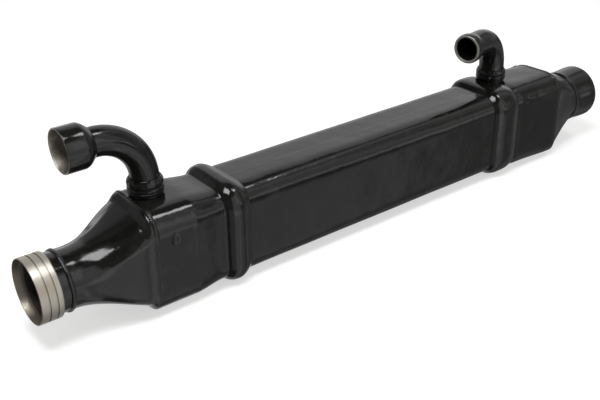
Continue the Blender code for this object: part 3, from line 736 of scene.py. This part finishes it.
def tank_weld(name, node, crown, ground, shares, sizes, finish, seed):
    """A rippled weld round the rectangular seam between a duct and a tank. Down the sides it is
    ground to a share of its height, by a smooth step over the place up the side."""
    middle = sum(span(node)) / 2
    form = (*TANK_HALF, sizes.tank_corner, sizes.tank_relief)
    centres, reaches = perimeter()[:2]
    flat = section((centres, reaches), *form, corner_shares(centres, shares))[0]
    distance = walked(flat)
    fine = np.linspace(0, distance[-1], 1401)[:-1]
    closed = [np.concatenate([values, values[:1]]) for values in (centres, reaches)]
    walk = [np.column_stack([np.interp(fine, distance, values[:, k]) for k in (0, 1)])
            for values in closed]
    across = WELD_PLACES
    ripple = weld_ripple(fine[None, :], across, SEAM_PITCH, seed)
    wander = 0.0004 * np.cos(fine * 61 + seed) + 0.0003 * np.cos(fine * 163)
    up = np.interp(fine, distance, np.append(flat[:, 1], flat[0, 1])) / TANK_HALF[1]
    left = ground + (1 - ground) * smooth((up - 0.45) / 0.40)
    height = crown * left * np.clip(1 - across ** 2, 0, 1) ** (1.3 - 0.8 * left) * ripple
    offset = np.concatenate([height - WELD_TOUCH, np.full((2, len(fine)), -0.0006)])
    x = middle + wander + across * sizes.weld_width / 2 * (0.92 + 0.1 * ripple)
    x = np.concatenate([x, x[[-1, 0]]])
    flat = section(walk, *form, corner_shares(walk[0], shares), offset)
    grid = np.stack([x, flat[..., 0], flat[..., 1] + AXIS_HEIGHT], -1)
    skin(name, grid, finish, PAINT_SLOT, [node])


class COOLER_OT_tank_welds(PieceMaker, bpy.types.Operator):
    """Lays the welds round the seams between the gas ducts and the coolant tanks"""

    bl_idname = "cooler.tank_welds"
    bl_label = "Tank welds"

    def make(self, sizes):
        finish = paint("seam_paint", 0.05, 1.8, 1.3)
        tank_weld("diffuser_weld_bead", "diffuser_weld", sizes.weld_height, 0.10, FRONT_SHARES,
                  sizes, finish, 5)
        tank_weld("cone_weld_bead", "cone_weld", sizes.rear_weld_height, 0.15, REAR_SHARES,
                  sizes, finish, 6)


def duct_rows(around, shares, corners, radius, wall, sizes):
    """Rows between a circle, at share 0, and the tank's rounded rectangle, at share 1: the share
    times one plus the rest times the other, each drawn in by the wall."""
    box = section(around, *TANK_HALF, sizes.tank_corner, sizes.tank_relief,
                  corner_shares(around[0], corners), -wall)
    ring = (radius - wall) * np.column_stack([np.cos(around[2]), np.sin(around[2])])
    return shares[..., None] * box + (1 - shares)[..., None] * ring


def duct_walk(sizes):
    """The section's walk with its round angles eased along the way, so that no crease runs down
    the duct where a corner meets a side."""
    centres, reaches, angles = perimeter()
    distance = walked(section((centres, reaches), *TANK_HALF, sizes.tank_corner, 0.0, 1.0)[0])
    total = distance[-1]
    thrice = np.concatenate([distance[:-1] - total, distance[:-1], distance[:-1] + total])
    turns = np.concatenate([angles - 2 * np.pi, angles, angles + 2 * np.pi])
    return centres, reaches, eased(lambda s: np.interp(s, thrice, turns), distance[:-1], 0.016)


def duct(name, node, stations, share_at, corners, sag, radius, finish, sizes):
    """A duct skin: outer rows along the stations, inner rows back, and a mark on the inside. Its
    middle hangs below the gas axis by the sag times the square of a half sine wave."""
    around = duct_walk(sizes)

    def rows(places, wall):
        return placed(places, duct_rows(around, share_at(places, around[2]), corners, radius,
                                        wall, sizes))

    back = stations[::-1][::2]
    if back[-1] != stations[0]:
        back = np.append(back, stations[0])
    outer, inner = rows(stations, 0.0), rows(back, sizes.sheet_wall)
    grid = np.concatenate([outer, inner])
    run = (grid[..., 0] - stations[0]) / (stations[-1] - stations[0])
    grid[..., 2] -= sag * np.sin(np.pi * run) ** 2
    bare = np.concatenate([np.zeros(len(outer)), np.ones(len(inner))])[:, None]
    skin(name, grid, finish, PAINT_SLOT, [node], {"bare": bare})


class COOLER_OT_inlet_diffuser(PieceMaker, bpy.types.Operator):
    """Forms the gas inlet diffuser, round at the neck and rectangular at the tank"""

    bl_idname = "cooler.inlet_diffuser"
    bl_label = "Inlet diffuser"

    def make(self, sizes):
        start, end = span("inlet_diffuser")
        straight, shoulder, flare = 0.0083, 0.0090, 0.0620
        flared, stepped, power = 0.72, 0.28, 1.65

        def share(stations):
            run = (stations - start - straight) / flare
            lip = (stations - start - straight - flare) / shoulder
            return flared * np.clip(run, 0, 1) ** power + stepped * smooth(lip)

        def side_share(stations):
            return smooth((stations - start - straight) / (flare + shoulder))

        def mixed(stations, angles):
            """The shouldered curve at top and bottom, the level-ended one down the sides."""
            tall = smooth((np.abs(np.sin(angles)) - 0.33) / 0.55)
            over = eased(share, stations, 0.0022)[:, None]
            return over * tall + side_share(stations)[:, None] * (1 - tall)

        stations = crowded(start, end, 110, end - 0.007, 0.010, 2.0)
        radius = float(high("inlet_neck")[1])
        finish = paint_over_bare("diffuser_paint", 0.26, 0.8,
                                 tuple(bpy.context.scene.cooler_finish.soot), 0.5)
        duct("inlet_diffuser_formed", "inlet_diffuser", stations, mixed, FRONT_SHARES, 0.0020,
             radius, finish, sizes)


def tank_form(depth, form, sizes):
    """Half width, half height, corner and relief at a depth from the gas end: the tank's section,
    a smooth step down to the valley, then a bead of height times one minus a power of the place
    from its middle. The first power holds toward the tank and the second toward the core, and
    the third is a power of the whole that lets it run out level there. Ribs are low bell curves
    at their own depths."""
    shell_top = float(high("core_shell")[2]) - AXIS_HEIGHT
    shell_side = float(high("core_shell")[1])
    fall = smooth((depth - form.body) / form.taper)
    place = (depth - form.body - form.taper) / form.bead
    tankward = place < 0.5
    power = np.where(tankward, form.powers[0], form.powers[1])
    swell = np.clip(1 - np.abs(2 * place - 1) ** power, 0, 1)
    swell = swell ** np.where(tankward, 1.0, form.powers[2])
    ground = np.where(tankward, form.valley, 0.0)
    rise = ground + (sizes.bead_height - ground) * swell
    rib_width = 0.0029
    rib = sum(height * np.exp(-((depth - middle) / rib_width) ** 2)
              for middle, height in form.ribs)
    return np.stack([
        TANK_HALF[0] * (1 - fall) + (shell_side + rise) * fall + rib,
        TANK_HALF[1] * (1 - fall) + (shell_top + rise) * fall,
        sizes.tank_corner * (1 - fall) + (sizes.shell_corner + rise) * fall,
        sizes.tank_relief * (1 - fall)])


def tank(name, node, sizes, finish, form, ease, dimple, seed):
    """A coolant tank: outer rows from the gas end to the shell, inner rows back."""
    start, end = span(node)
    front = node.startswith("front")
    dimple_x = start + dimple.inset if front else end - dimple.inset
    focus = 0.5 - dimple.height / (2 * (TANK_HALF[1] - CORNER_LEG * sizes.tank_corner))
    around = perimeter(focus)
    bead_middle = (start + form.body + form.taper + form.bead / 2 if front
                   else end - form.body - form.taper - form.bead / 2)
    outer_x = crowded(start, end, 210, bead_middle, form.bead * 0.55, 0.8)
    inner_x = crowded(start, end, 60, bead_middle, form.bead * 0.55, 0.8)[::-1]
    gas_end = corner_shares(around[0], FRONT_SHARES if front else REAR_SHARES)
    core_end = corner_shares(around[0], SHELL_SHARES)

    def depths(stations):
        return stations - start if front else end - stations

    def rows(stations, offset):
        values = [eased(lambda s, k=k: tank_form(depths(s), form, sizes)[k], stations, ease)
                  for k in range(4)]
        blend = smooth(depths(stations) / form.body)[:, None]
        shares = gas_end + blend * (core_end - gas_end)
        return placed(stations, section(around, *values, shares, offset))

    inward = np.minimum(outer_x - start, end - outer_x)
    wave = uneven(outer_x, len(around[0]), sizes.unevenness, seed)
    wave = wave * smooth(inward / WAVE_FADE)[:, None]
    pressed = press(rows(outer_x, wave), dimple_x, AXIS_HEIGHT + dimple.height, dimple.radius,
                    dimple.depth)
    piece = skin(name, np.concatenate([pressed, rows(inner_x, -sizes.sheet_wall)]), finish,
                 PAINT_SLOT, [node])
    boss = "front_port_boss" if front else "rear_port_boss"
    port = (low(boss) + high(boss)) / 2
    drill(piece, port[0], port[1], AXIS_HEIGHT + TANK_HALF[1], high(boss)[1] - port[1] + 0.0002)


class COOLER_OT_coolant_tanks(PieceMaker, bpy.types.Operator):
    """Presses the two coolant tanks with their beads and dimples"""

    bl_idname = "cooler.coolant_tanks"
    bl_label = "Coolant tanks"

    def make(self, sizes):
        finish = paint("tank_paint", 0.40, 1.0, 0.3)
        ribs = ((0.0430, 0.00015), (0.0735, 0.00020), (0.1015, 0.00032))
        tank("front_tank_pressed", "front_coolant_tank", sizes, finish,
             TankForm(body=0.040, taper=0.036, bead=0.029, valley=0.0002,
                      powers=(2.5, 2.0, 1.5), ribs=ribs),
             0.0018, Dimple(inset=0.018, height=0.0235, radius=0.0054, depth=0.0017), 11)
        tank("rear_tank_pressed", "rear_coolant_tank", sizes, finish,
             TankForm(body=0.066, taper=0.010, bead=0.038, valley=0.0030,
                      powers=(2.6, 3.6, 1.0), ribs=()),
             0.0020, Dimple(inset=0.058, height=0.034, radius=0.0052, depth=0.0009), 12)


class COOLER_OT_core_shell(PieceMaker, bpy.types.Operator):
    """Folds the long coolant shell, joggled inward where it enters the tanks"""

    bl_idname = "cooler.core_shell"
    bl_label = "Core shell"

    def make(self, sizes):
        start, end = span("core_shell")
        half_width = float(high("core_shell")[1])
        half_height = float(high("core_shell")[2]) - AXIS_HEIGHT
        wall, spigot, drop, joggle = 0.0015, 0.00775, sizes.sheet_wall + FIT, 0.0001
        ends = np.array([0.0, 0.004, 0.0072, spigot, spigot + joggle, 0.0081, 0.0090, 0.0105,
                         0.0122, 0.0140])
        stations = np.concatenate([start + ends, np.linspace(start + 0.018, end - 0.018, 80),
                                   end - ends[::-1]])
        around = perimeter()
        inward = np.minimum(stations - start, end - stations) - spigot
        depth = drop * (1 - np.clip(inward / joggle, 0, 1))[:, None]
        wave = uneven(stations, len(around[0]), sizes.unevenness, 21)
        wave = wave * smooth(inward / WAVE_FADE)[:, None]
        form = (half_width, half_height, sizes.shell_corner, 0.0,
                corner_shares(around[0], SHELL_SHARES))
        outer = section(around, *form, wave - depth)
        inner = section(around, *form, -depth - wall)
        grid = np.concatenate([placed(stations, outer), placed(stations[::-1], inner[::-1])])
        skin("core_shell_folded", grid, paint("shell_paint", 0.34, 0.8, 0.9, -0.002), PAINT_SLOT,
             ["core_shell"])


class COOLER_OT_gas_outlet(PieceMaker, bpy.types.Operator):
    """Forms the outlet cone and rolls the outlet pipe"""

    bl_idname = "cooler.gas_outlet"
    bl_label = "Gas outlet"

    def make(self, sizes):
        start, end = span("outlet_cone")
        pipe_start, pipe_end = span("outlet_pipe")
        rounding, drop, belly, neck, flare = 0.007, 0.22, 0.20, 0.004, 0.0015
        limit = math.radians(60)
        begin, reached = start + rounding * math.sin(limit), 1 - drop * (1 - math.cos(limit))

        def share(stations):
            turn = np.arcsin(np.clip((stations - start) / rounding, 0, math.sin(limit)))
            along = np.clip((stations - begin) / (end - neck - begin), 0, 1)
            fallen = reached * (1 - along - belly * along * (1 - along))
            return np.where(stations < begin, 1 - drop * (1 - np.cos(turn)), fallen)

        radius = float(high("outlet_pipe")[1]) - flare
        stations = crowded(start, end, 90, start + 0.006, 0.006, 3.0)
        soot = tuple(bpy.context.scene.cooler_finish.soot)
        duct("outlet_cone_formed", "outlet_cone", stations,
             lambda s, angles: eased(share, s, 0.0012)[:, None], REAR_SHARES, 0.0, radius,
             paint_over_bare("cone_paint", 0.45, 1.0, soot, 0.5), sizes)
        length, edge, wall = pipe_end - pipe_start, 0.003, 0.0016
        along = np.linspace(0, 1, 24)
        outer = np.column_stack([pipe_start + (length - edge) * along,
                                 radius + flare * smooth(along)])
        turn = np.linspace(0, np.pi / 2, 9)[1:]
        lip = np.column_stack([pipe_end - edge + edge * np.sin(turn),
                               radius + flare - 0.0008 * (1 - np.cos(turn))])
        inner = np.column_stack([outer[::-1, 0], outer[::-1, 1] - wall])
        inner[0, 0] = pipe_end - 0.0004
        face = np.array([[pipe_end, radius + flare - 0.0013]])
        profile = np.concatenate([outer, lip, face, inner])
        bare = np.concatenate([np.zeros(len(outer) + len(lip) + 1), np.ones(len(inner))])
        grid = turned(profile, (0, 0, AXIS_HEIGHT), (1, 0, 0), 192)
        skin("outlet_pipe_rolled", grid, paint_over_bare("pipe_paint", 0.12, 0.7, soot, 0.4),
             PAINT_SLOT, ["outlet_pipe"], {"bare": bare[:, None]})


def boss(name, node, finish):
    """A turned boss with a small fillet at its foot and a rounded rim."""
    base, top = low(node), high(node)
    centre = (base + top) / 2
    outer = float(top[1] - centre[1])
    bore = outer - 0.0032
    sheet = AXIS_HEIGHT + TANK_HALF[1]
    outline = [(base[2], bore), (base[2], outer), (sheet + 0.0002, outer),
               (top[2], outer), (top[2], bore)]
    profile = softened(outline, [0.0003, 0.0003, 0.0003, 0.0011, 0.0003])
    grid = turned(profile, (centre[0], centre[1], 0), (0, 0, 1), 128, (1, 0, 0))
    skin(name, grid, finish, PAINT_SLOT, [node])


def ferrule(name, node, tube, finish):
    """A pressed ferrule: a lower bulge with a fine groove round it, and an upper one that slopes
    in to the tube."""
    base, top = low(node), high(node)
    centre = (base + top) / 2
    crest = float(top[1] - centre[1])
    bore = tube + FIT
    tall = float(top[2] - base[2])
    waist = crest - 0.0013
    outline = [(0.0, bore), (0.0, waist), (0.10, crest), (0.20, crest - 0.0001),
               (0.225, crest - 0.0006), (0.25, crest - 0.0001), (0.37, crest), (0.46, waist),
               (0.56, crest), (0.80, crest - 0.0001), (1.0, bore + 0.0008), (1.0, bore)]
    reach = [0.0003, 0.0004, 0.0007, 0.0002, 0.00018, 0.0002, 0.0007, 0.0005, 0.0009, 0.0022,
             0.0004, 0.0003]
    profile = softened([(base[2] + tall * share, radius) for share, radius in outline], reach)
    grid = turned(profile, (centre[0], centre[1], 0), (0, 0, 1), 160, (1, 0, 0))
    turn = np.arange(160) * 2 * np.pi / 160
    lump = 1 + 0.010 * np.cos(7 * turn) + 0.008 * np.cos(17 * turn + 1.1)
    share = ((profile[:, 0] - base[2]) / tall)[:, None]
    lump = 1 + (lump - 1)[None, :] * smooth((share - 0.5) * 8) * smooth((0.98 - share) * 8)
    spoke = grid - np.array([centre[0], centre[1], 0]) * (1, 1, 0)
    grid[..., :2] = spoke[..., :2] * np.minimum(lump, 1.0)[..., None] + centre[:2]
    skin(name, grid, finish, PAINT_SLOT, [node])


class COOLER_OT_coolant_ports(PieceMaker, bpy.types.Operator):
    """Turns the port bosses and presses the ferrules round the elbows' feet"""

    bl_idname = "cooler.coolant_ports"
    bl_label = "Coolant ports"

    def make(self, sizes):
        finish = paint("port_paint", 0.10, 1.5, 0.5)
        boss("front_boss_turned", "front_port_boss", finish)
        boss("rear_boss_turned", "rear_port_boss", finish)
        ferrule("front_ferrule_pressed", "front_port_ferrule", FRONT_TUBE, finish)
        ferrule("rear_ferrule_pressed", "rear_port_ferrule", REAR_TUBE, finish)


def elbow_line(port, foot, tip_height, bend, straight, heading):
    """Centres and directions: up from the foot, a quarter circle of the bend radius turned by
    even angles, then straight along the heading."""
    heading = np.array(heading, float)
    up = np.array([0.0, 0.0, 1.0])
    knee = tip_height - bend
    rise = np.linspace(foot, knee, 5)[:-1]
    turn = np.linspace(0, np.pi / 2, 49)[:, None]
    run = np.linspace(0, straight, 9)[1:, None]
    base = np.array([port[0], port[1], 0.0])
    centres = np.concatenate([
        base + rise[:, None] * up,
        base + (knee + bend * np.sin(turn)) * up + bend * (1 - np.cos(turn)) * heading,
        base + tip_height * up + (bend + run) * heading])
    directions = np.concatenate([
        np.tile(up, (len(rise), 1)), np.cos(turn) * up + np.sin(turn) * heading,
        np.tile(heading, (len(run), 1))])
    return centres, directions


def elbow(name, node, line, heading, radius, wall, lip, seat, marks, finish):
    """A bent tube: outer rings up the line, the mouth's lip and seat, inner rings back. The marks
    say how bare the lip's and the seat's rings are, and then the inside."""
    centres, directions = line
    heading = np.array(heading, float)
    side = np.cross(heading, (0.0, 0.0, 1.0))
    tip = centres[-1]
    mouth = np.array(lip + seat, float)
    back = mouth[:, 0:1]
    keep = int(np.sum((tip - centres) @ heading > back.max() + 0.0005))
    rings = [(centres[:keep], directions[:keep], np.full(keep, radius))]
    rings.append((tip - back * heading, np.tile(heading, (len(mouth), 1)), radius + mouth[:, 1]))
    rings.append((centres[:keep][::-1], directions[:keep][::-1], np.full(keep, radius - wall)))
    parts = [np.concatenate(group) for group in zip(*rings)]
    grid = swept(parts[0], parts[1], parts[2], side, 96)
    bare = np.concatenate([np.zeros(keep), marks[:-1], np.full(keep, marks[-1])])[:, None]
    skin(name, grid, finish, PAINT_SLOT, [node], {"bare": bare})


class COOLER_OT_coolant_elbows(PieceMaker, bpy.types.Operator):
    """Bends the two coolant elbows, the rear one with a raised lip at its mouth"""

    bl_idname = "cooler.coolant_elbows"
    bl_label = "Coolant elbows"

    def make(self, sizes):
        wall = sizes.tube_wall
        lowest, highest = low("front_coolant_elbow"), high("front_coolant_elbow")
        port = (highest[0] - FRONT_TUBE, (highest[1] + lowest[1]) / 2)
        tip_height, bend = float(highest[2]) - FRONT_TUBE, 0.0483
        straight = float(port[0] - bend - lowest[0])
        line = elbow_line(port, lowest[2], tip_height, bend, straight, (-1, 0, 0))
        bare = (0.30, 0.25, 0.20)
        lip = [(0.0004, 0.0), (0.0, -0.0003)]
        seat = [(0.0, -wall + 0.0003), (0.0004, -wall)]
        elbow("front_elbow_bent", "front_coolant_elbow", line, (-1, 0, 0), FRONT_TUBE, wall, lip,
              seat, [0, 0, 1, 1, 1], paint_over_bare("front_elbow_paint", 0.10, 0.8, bare, 0.35))
        lowest, highest = low("rear_coolant_elbow"), high("rear_coolant_elbow")
        boss_low, boss_high = low("rear_port_boss"), high("rear_port_boss")
        port = (boss_low + boss_high)[:2] / 2
        yaw = math.radians(13)
        heading = (-math.cos(yaw), -math.sin(yaw), 0.0)
        bend, straight = 0.0357, 0.0305
        lip_length, lip_height, slope, rounding, drop = 0.0170, 0.0022, 0.6, 0.0036, 0.0018
        tip_height = float(highest[2]) - REAR_TUBE - lip_height
        line = elbow_line(port, lowest[2], tip_height, bend, straight, heading)
        rise = np.linspace(0, 1, 16)[1:]
        over = np.linspace(0, np.pi / 2, 10)
        lip = [(lip_length * (1 - slope * s), lip_height * float(smooth(s))) for s in rise]
        lip += [(rounding * (1 - math.sin(a)), lip_height - drop * (1 - math.cos(a)))
                for a in over]
        seat = [(0.0, 0.0001), (0.0, -0.0010), (0.0003, -0.0012), (0.0035, -wall), (0.0045, -wall)]
        marks = [0.0] * (len(lip) - 4) + [0.5, 1, 1, 1] + [1, 1, 1, 0, 0] + [0]
        elbow("rear_elbow_bent", "rear_coolant_elbow", line, heading, REAR_TUBE, wall, lip, seat,
              marks, paint_over_bare("rear_elbow_paint", 0.10, 0.8, (0.58, 0.55, 0.50), 0.30))


class COOLER_OT_elbow_bell(PieceMaker, bpy.types.Operator):
    """Turns the hose bell: painted outside, bare inside, with a thin bright rim"""

    bl_idname = "cooler.elbow_bell"
    bl_label = "Hose bell"

    def make(self, sizes):
        lowest, highest = low("elbow_bell"), high("elbow_bell")
        outer = float(highest[1] - lowest[1]) / 2
        centre = (lowest + highest) / 2
        small, wall = FRONT_TUBE + FIT, 0.0015
        large = outer - wall
        tip, rim = span("front_coolant_elbow")[0], float(lowest[0])
        shoulder, grip, edge = 0.0085, float(highest[0]) - tip, 0.0004
        swell = np.linspace(0, np.pi / 2, 26)
        inside = np.column_stack([tip - 0.0003 - shoulder * swell / swell[-1],
                                  small + (large - small) * np.sin(swell)])
        outside = np.column_stack([
            tip + grip - (shoulder + grip + 0.0003) * swell / swell[-1],
            small + edge + (large + wall - small - edge) * np.sin(swell)])
        profile = np.concatenate([
            outside,
            [(rim + 0.0009, outer), (rim + 0.0003, outer - 0.0001), (rim, outer - 0.0004),
             (rim, large + 0.0004), (rim + 0.0004, large + 0.0001), (rim + 0.0011, large)],
            inside[::-1], [(tip + grip, small)]])
        bare = np.concatenate([np.zeros(len(outside) + 2), [0.6], np.ones(3 + len(inside) + 1)])
        grid = turned(profile, (0, centre[1], centre[2]), (1, 0, 0), 160)
        finish = paint_over_bare("bell_paint", 0.08, 0.9, (0.60, 0.56, 0.49), 0.30)
        skin("hose_bell_turned", grid, finish, PAINT_SLOT, ["elbow_bell"], {"bare": bare[:, None]})


class COOLER_OT_core_inside(PieceMaker, bpy.types.Operator):
    """Gives the gas tubes, header plates and comb baffles their brazed sheet finish"""

    bl_idname = "cooler.core_inside"
    bl_label = "Core inside"

    def make(self, sizes):
        finishes = {"gas_tube": brazed_sheet("tube_sheet", 1.0),
                    "front_header": brazed_sheet("header_sheet", 7.0),
                    "rear_header": brazed_sheet("header_sheet_rear", 9.0),
                    "comb_baffle": brazed_sheet("baffle_sheet", 4.0)}
        for node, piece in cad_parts.items():
            for start, finish in finishes.items():
                if node.startswith(start):
                    piece.data.materials.clear()
                    piece.data.materials.append(finish)


# Panels of the room: centre and half width in degrees of azimuth from +Y toward +X, low and high
# edge in degrees above the horizon, radiance, softness of the edges in degrees. Those below the
# horizon are what gloss paint sees of the table and of the dark room beyond its edges.
PANELS = (
    (172, 22, -22, 45, 0.90, 7), (148, 18, 10, 53, 0.60, 8), (112, 30, 37, 60, 0.40, 8),
    (108, 22, 50, 60, 0.42, 5), (115, 24, -90, 40, 0.16, 8), (163, 28, -90, -15.5, 0.58, 14),
    (147, 4.5, 0, 10, 1.15, 4), (138.5, 4.5, -6, 6, 1.1, 4), (115.5, 12.5, 57.5, 68, 12.0, 2.2),
    (5, 17, 0, 9, 1.3, 7), (42, 28, 0, 51, 0.78, 8), (-60, 30, 0, 40, 0.18, 12),
    (84, 16, 4, 52, 0.22, 10), (-5, 22, 8, 40, 0.24, 10), (-10, 60, 50, 80, 0.08, 12),
    (-165, 25, -48, -10, 0.42, 10), (82, 32, -90, -12, 0.06, 14), (160, 5, -60, -24, 0.55, 4),
    (15, 50, -90, -4, 0.50, 14),
)


class COOLER_OT_studio(bpy.types.Operator):
    """Lays the pale floor, hangs the soft light, surrounds it with panels and sets the camera"""

    bl_idname = "cooler.studio"
    bl_label = "Studio"

    def execute(self, context):
        studio = context.scene.cooler_studio
        self.floor(studio, context.scene.cooler_finish)
        self.backdrop()
        self.light(studio)
        self.surround(studio)
        self.camera(context)
        context.scene.view_settings.view_transform = 'Standard'
        return {'FINISHED'}

    def floor(self, studio, colours):
        lines, reach = 41, 4.0
        steps = np.linspace(-1, 1, lines) ** 3 * reach
        x, y = np.meshgrid(steps, steps, indexing='ij')
        points = np.stack([x, y, np.full_like(x, -0.0004)], -1).reshape(-1, 3)
        index = np.arange(lines * lines).reshape(lines, lines)
        faces = np.stack([index[:-1, :-1], index[1:, :-1], index[1:, 1:], index[:-1, 1:]], -1)
        mesh = bpy.data.meshes.new("studio_floor")
        mesh.from_pydata(points.tolist(), [], faces.reshape(-1, 4).tolist())
        tone = tuple(colours.floor)
        made, book, shader = new_finish("floor_paper", {'Emission Strength': studio.floor_glow})
        place = book.place()
        fleck = book.noise(place, 9.0, 3.0)
        shade = book.blend(fleck * 0.10, tone, tuple(0.93 * c for c in tone))
        fibre = book.noise(place, 900.0, 2.0)
        book.fill(shader, {'Base Color': shade, 'Roughness': 0.85 + fibre * 0.1,
                           'Emission Color': shade, 'Normal': book.bump(fibre, 0.0001, 0.2)})
        mesh.materials.append(made)
        floor = bpy.data.objects.new("studio_floor", mesh)
        floor.visible_glossy = False
        bpy.context.scene.collection.objects.link(floor)

    def backdrop(self):
        """A pale dome that only the camera sees: rings of a sphere from just below the horizon to
        near the top, each at radius times the sine of its rise."""
        rings, steps, radius = 24, 96, 7.0
        turn = np.arange(steps) * 2 * np.pi / steps
        rise = np.linspace(-0.02, np.pi / 2 - 0.01, rings)[:, None]
        reach, height = radius * np.cos(rise), radius * np.sin(rise)
        points = np.stack([reach * np.cos(turn), reach * np.sin(turn),
                           np.broadcast_to(height, (rings, steps))], -1).reshape(-1, 3)
        index = np.arange(rings * steps).reshape(rings, steps)
        beside = np.roll(index, -1, 1)
        faces = np.stack([index[:-1], index[1:], beside[1:], beside[:-1]], -1).reshape(-1, 4)
        mesh = bpy.data.meshes.new("studio_backdrop")
        mesh.from_pydata(points.tolist(), [], faces.tolist())
        made, book, shader = new_finish("backdrop_cloth", {'Emission Strength': 1.0,
                                                           'Roughness': 1.0})
        weave = book.noise(book.place(), 0.6, 2.0)
        book.fill(shader, {'Base Color': (0, 0, 0, 1), 'Emission Color': book.blend(
            weave, (0.97, 0.97, 0.97), (1.0, 1.0, 1.0))})
        mesh.materials.append(made)
        dome = bpy.data.objects.new("studio_backdrop", mesh)
        for ray in ("diffuse", "glossy", "transmission", "volume_scatter", "shadow"):
            setattr(dome, "visible_" + ray, False)
        bpy.context.scene.collection.objects.link(dome)

    def light(self, studio):
        away, distance = Vector((-0.28, -0.13, 0.95)).normalized(), 1.6
        lamp = bpy.data.lights.new("overhead_softbox", 'AREA')
        lamp.shape = 'SQUARE'
        lamp.size = studio.key_size
        lamp.energy = studio.key_power
        made = bpy.data.objects.new("overhead_softbox", lamp)
        made.matrix_world = (Matrix.Translation(away * distance)
                             @ away.to_track_quat('Z', 'Y').to_matrix().to_4x4())
        bpy.context.scene.collection.objects.link(made)

    def surround(self, studio):
        world = bpy.data.worlds.new("studio_surround")
        bpy.context.scene.world = world
        world.use_nodes = True
        book = NodeBook(world.node_tree)
        direction = book.node('ShaderNodeTexCoord', None, None, 'Generated')
        x, y, z = book.parts(direction)
        rise = z.math('ARCSINE', z) * (180 / math.pi)
        around = x.math('ARCTAN2', x, y) * (180 / math.pi)
        room, wall = 0.08, 0.10
        total = (1 - rise.step(2, 60)) * rise.step(-2, 2) * wall + room
        for centre, half, bottom, top, radiance, soft in PANELS:
            away = abs(around.math('WRAP', around - centre, 180.0, -180.0))
            across = 1 - away.step(half - soft / 2, half + soft / 2)
            up = rise.step(bottom - soft / 2, bottom + soft / 2)
            over = 1 - rise.step(top - soft / 2, top + soft / 2)
            total = total + across * up * over * radiance
        background = world.node_tree.nodes["Background"]
        book.fill(background, {'Color': total, 'Strength': studio.surround})

    def camera(self, context):
        lens = bpy.data.cameras.new("camera")
        lens.lens = LENS
        lens.sensor_width = 36.0
        lens.clip_start = 0.01
        azimuth, elevation, roll = (math.radians(value) for value in CAMERA_ANGLES)
        back = Vector((math.sin(azimuth) * math.cos(elevation),
                       -math.cos(azimuth) * math.cos(elevation), math.sin(elevation)))
        right = (-back).cross(Vector((0, 0, 1))).normalized()
        up = right.cross(-back)
        cosine, sine = math.cos(roll), math.sin(roll)
        columns = (right * cosine + up * sine, up * cosine - right * sine, back)
        turn = Matrix(columns).transposed().to_4x4()
        seen = bpy.data.objects.new("camera", lens)
        seen.matrix_world = Matrix.Translation(CAMERA_PLACE) @ turn
        context.scene.collection.objects.link(seen)
        context.scene.camera = seen


MAKERS = (COOLER_OT_inlet_ring, COOLER_OT_inlet_neck, COOLER_OT_round_welds,
          COOLER_OT_inlet_diffuser, COOLER_OT_tank_welds, COOLER_OT_coolant_tanks,
          COOLER_OT_core_shell, COOLER_OT_gas_outlet, COOLER_OT_coolant_ports,
          COOLER_OT_coolant_elbows, COOLER_OT_elbow_bell, COOLER_OT_core_inside,
          COOLER_OT_studio)
GROUPS = {"cooler_sizes": CoolerSizes, "cooler_finish": CoolerFinish,
          "cooler_studio": CoolerStudio}


class COOLER_PT_pieces(bpy.types.Panel):
    """Lists the pieces of the cooler, the sizes and the finishes"""

    bl_label = "Exhaust gas cooler"
    bl_idname = "COOLER_PT_pieces"
    bl_space_type = 'VIEW_3D'
    bl_region_type = 'UI'
    bl_category = "Cooler"

    def draw(self, context):
        for group, kind in GROUPS.items():
            box = self.layout.box()
            for name in kind.__annotations__:
                box.prop(getattr(context.scene, group), name)
        for maker in MAKERS:
            self.layout.operator(maker.bl_idname)


def register():
    for kind in (*GROUPS.values(), *MAKERS, COOLER_PT_pieces):
        bpy.utils.register_class(kind)
    for name, kind in GROUPS.items():
        setattr(bpy.types.Scene, name, bpy.props.PointerProperty(type=kind))


def unregister():
    for name in GROUPS:
        delattr(bpy.types.Scene, name)
    for kind in (COOLER_PT_pieces, *reversed(MAKERS), *GROUPS.values()):
        bpy.utils.unregister_class(kind)


def main():
    """Registers the add-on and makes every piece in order."""
    register()
    for maker in MAKERS:
        getattr(bpy.ops.cooler, maker.bl_idname.split(".")[1])()


if __name__ == "__main__":
    main()
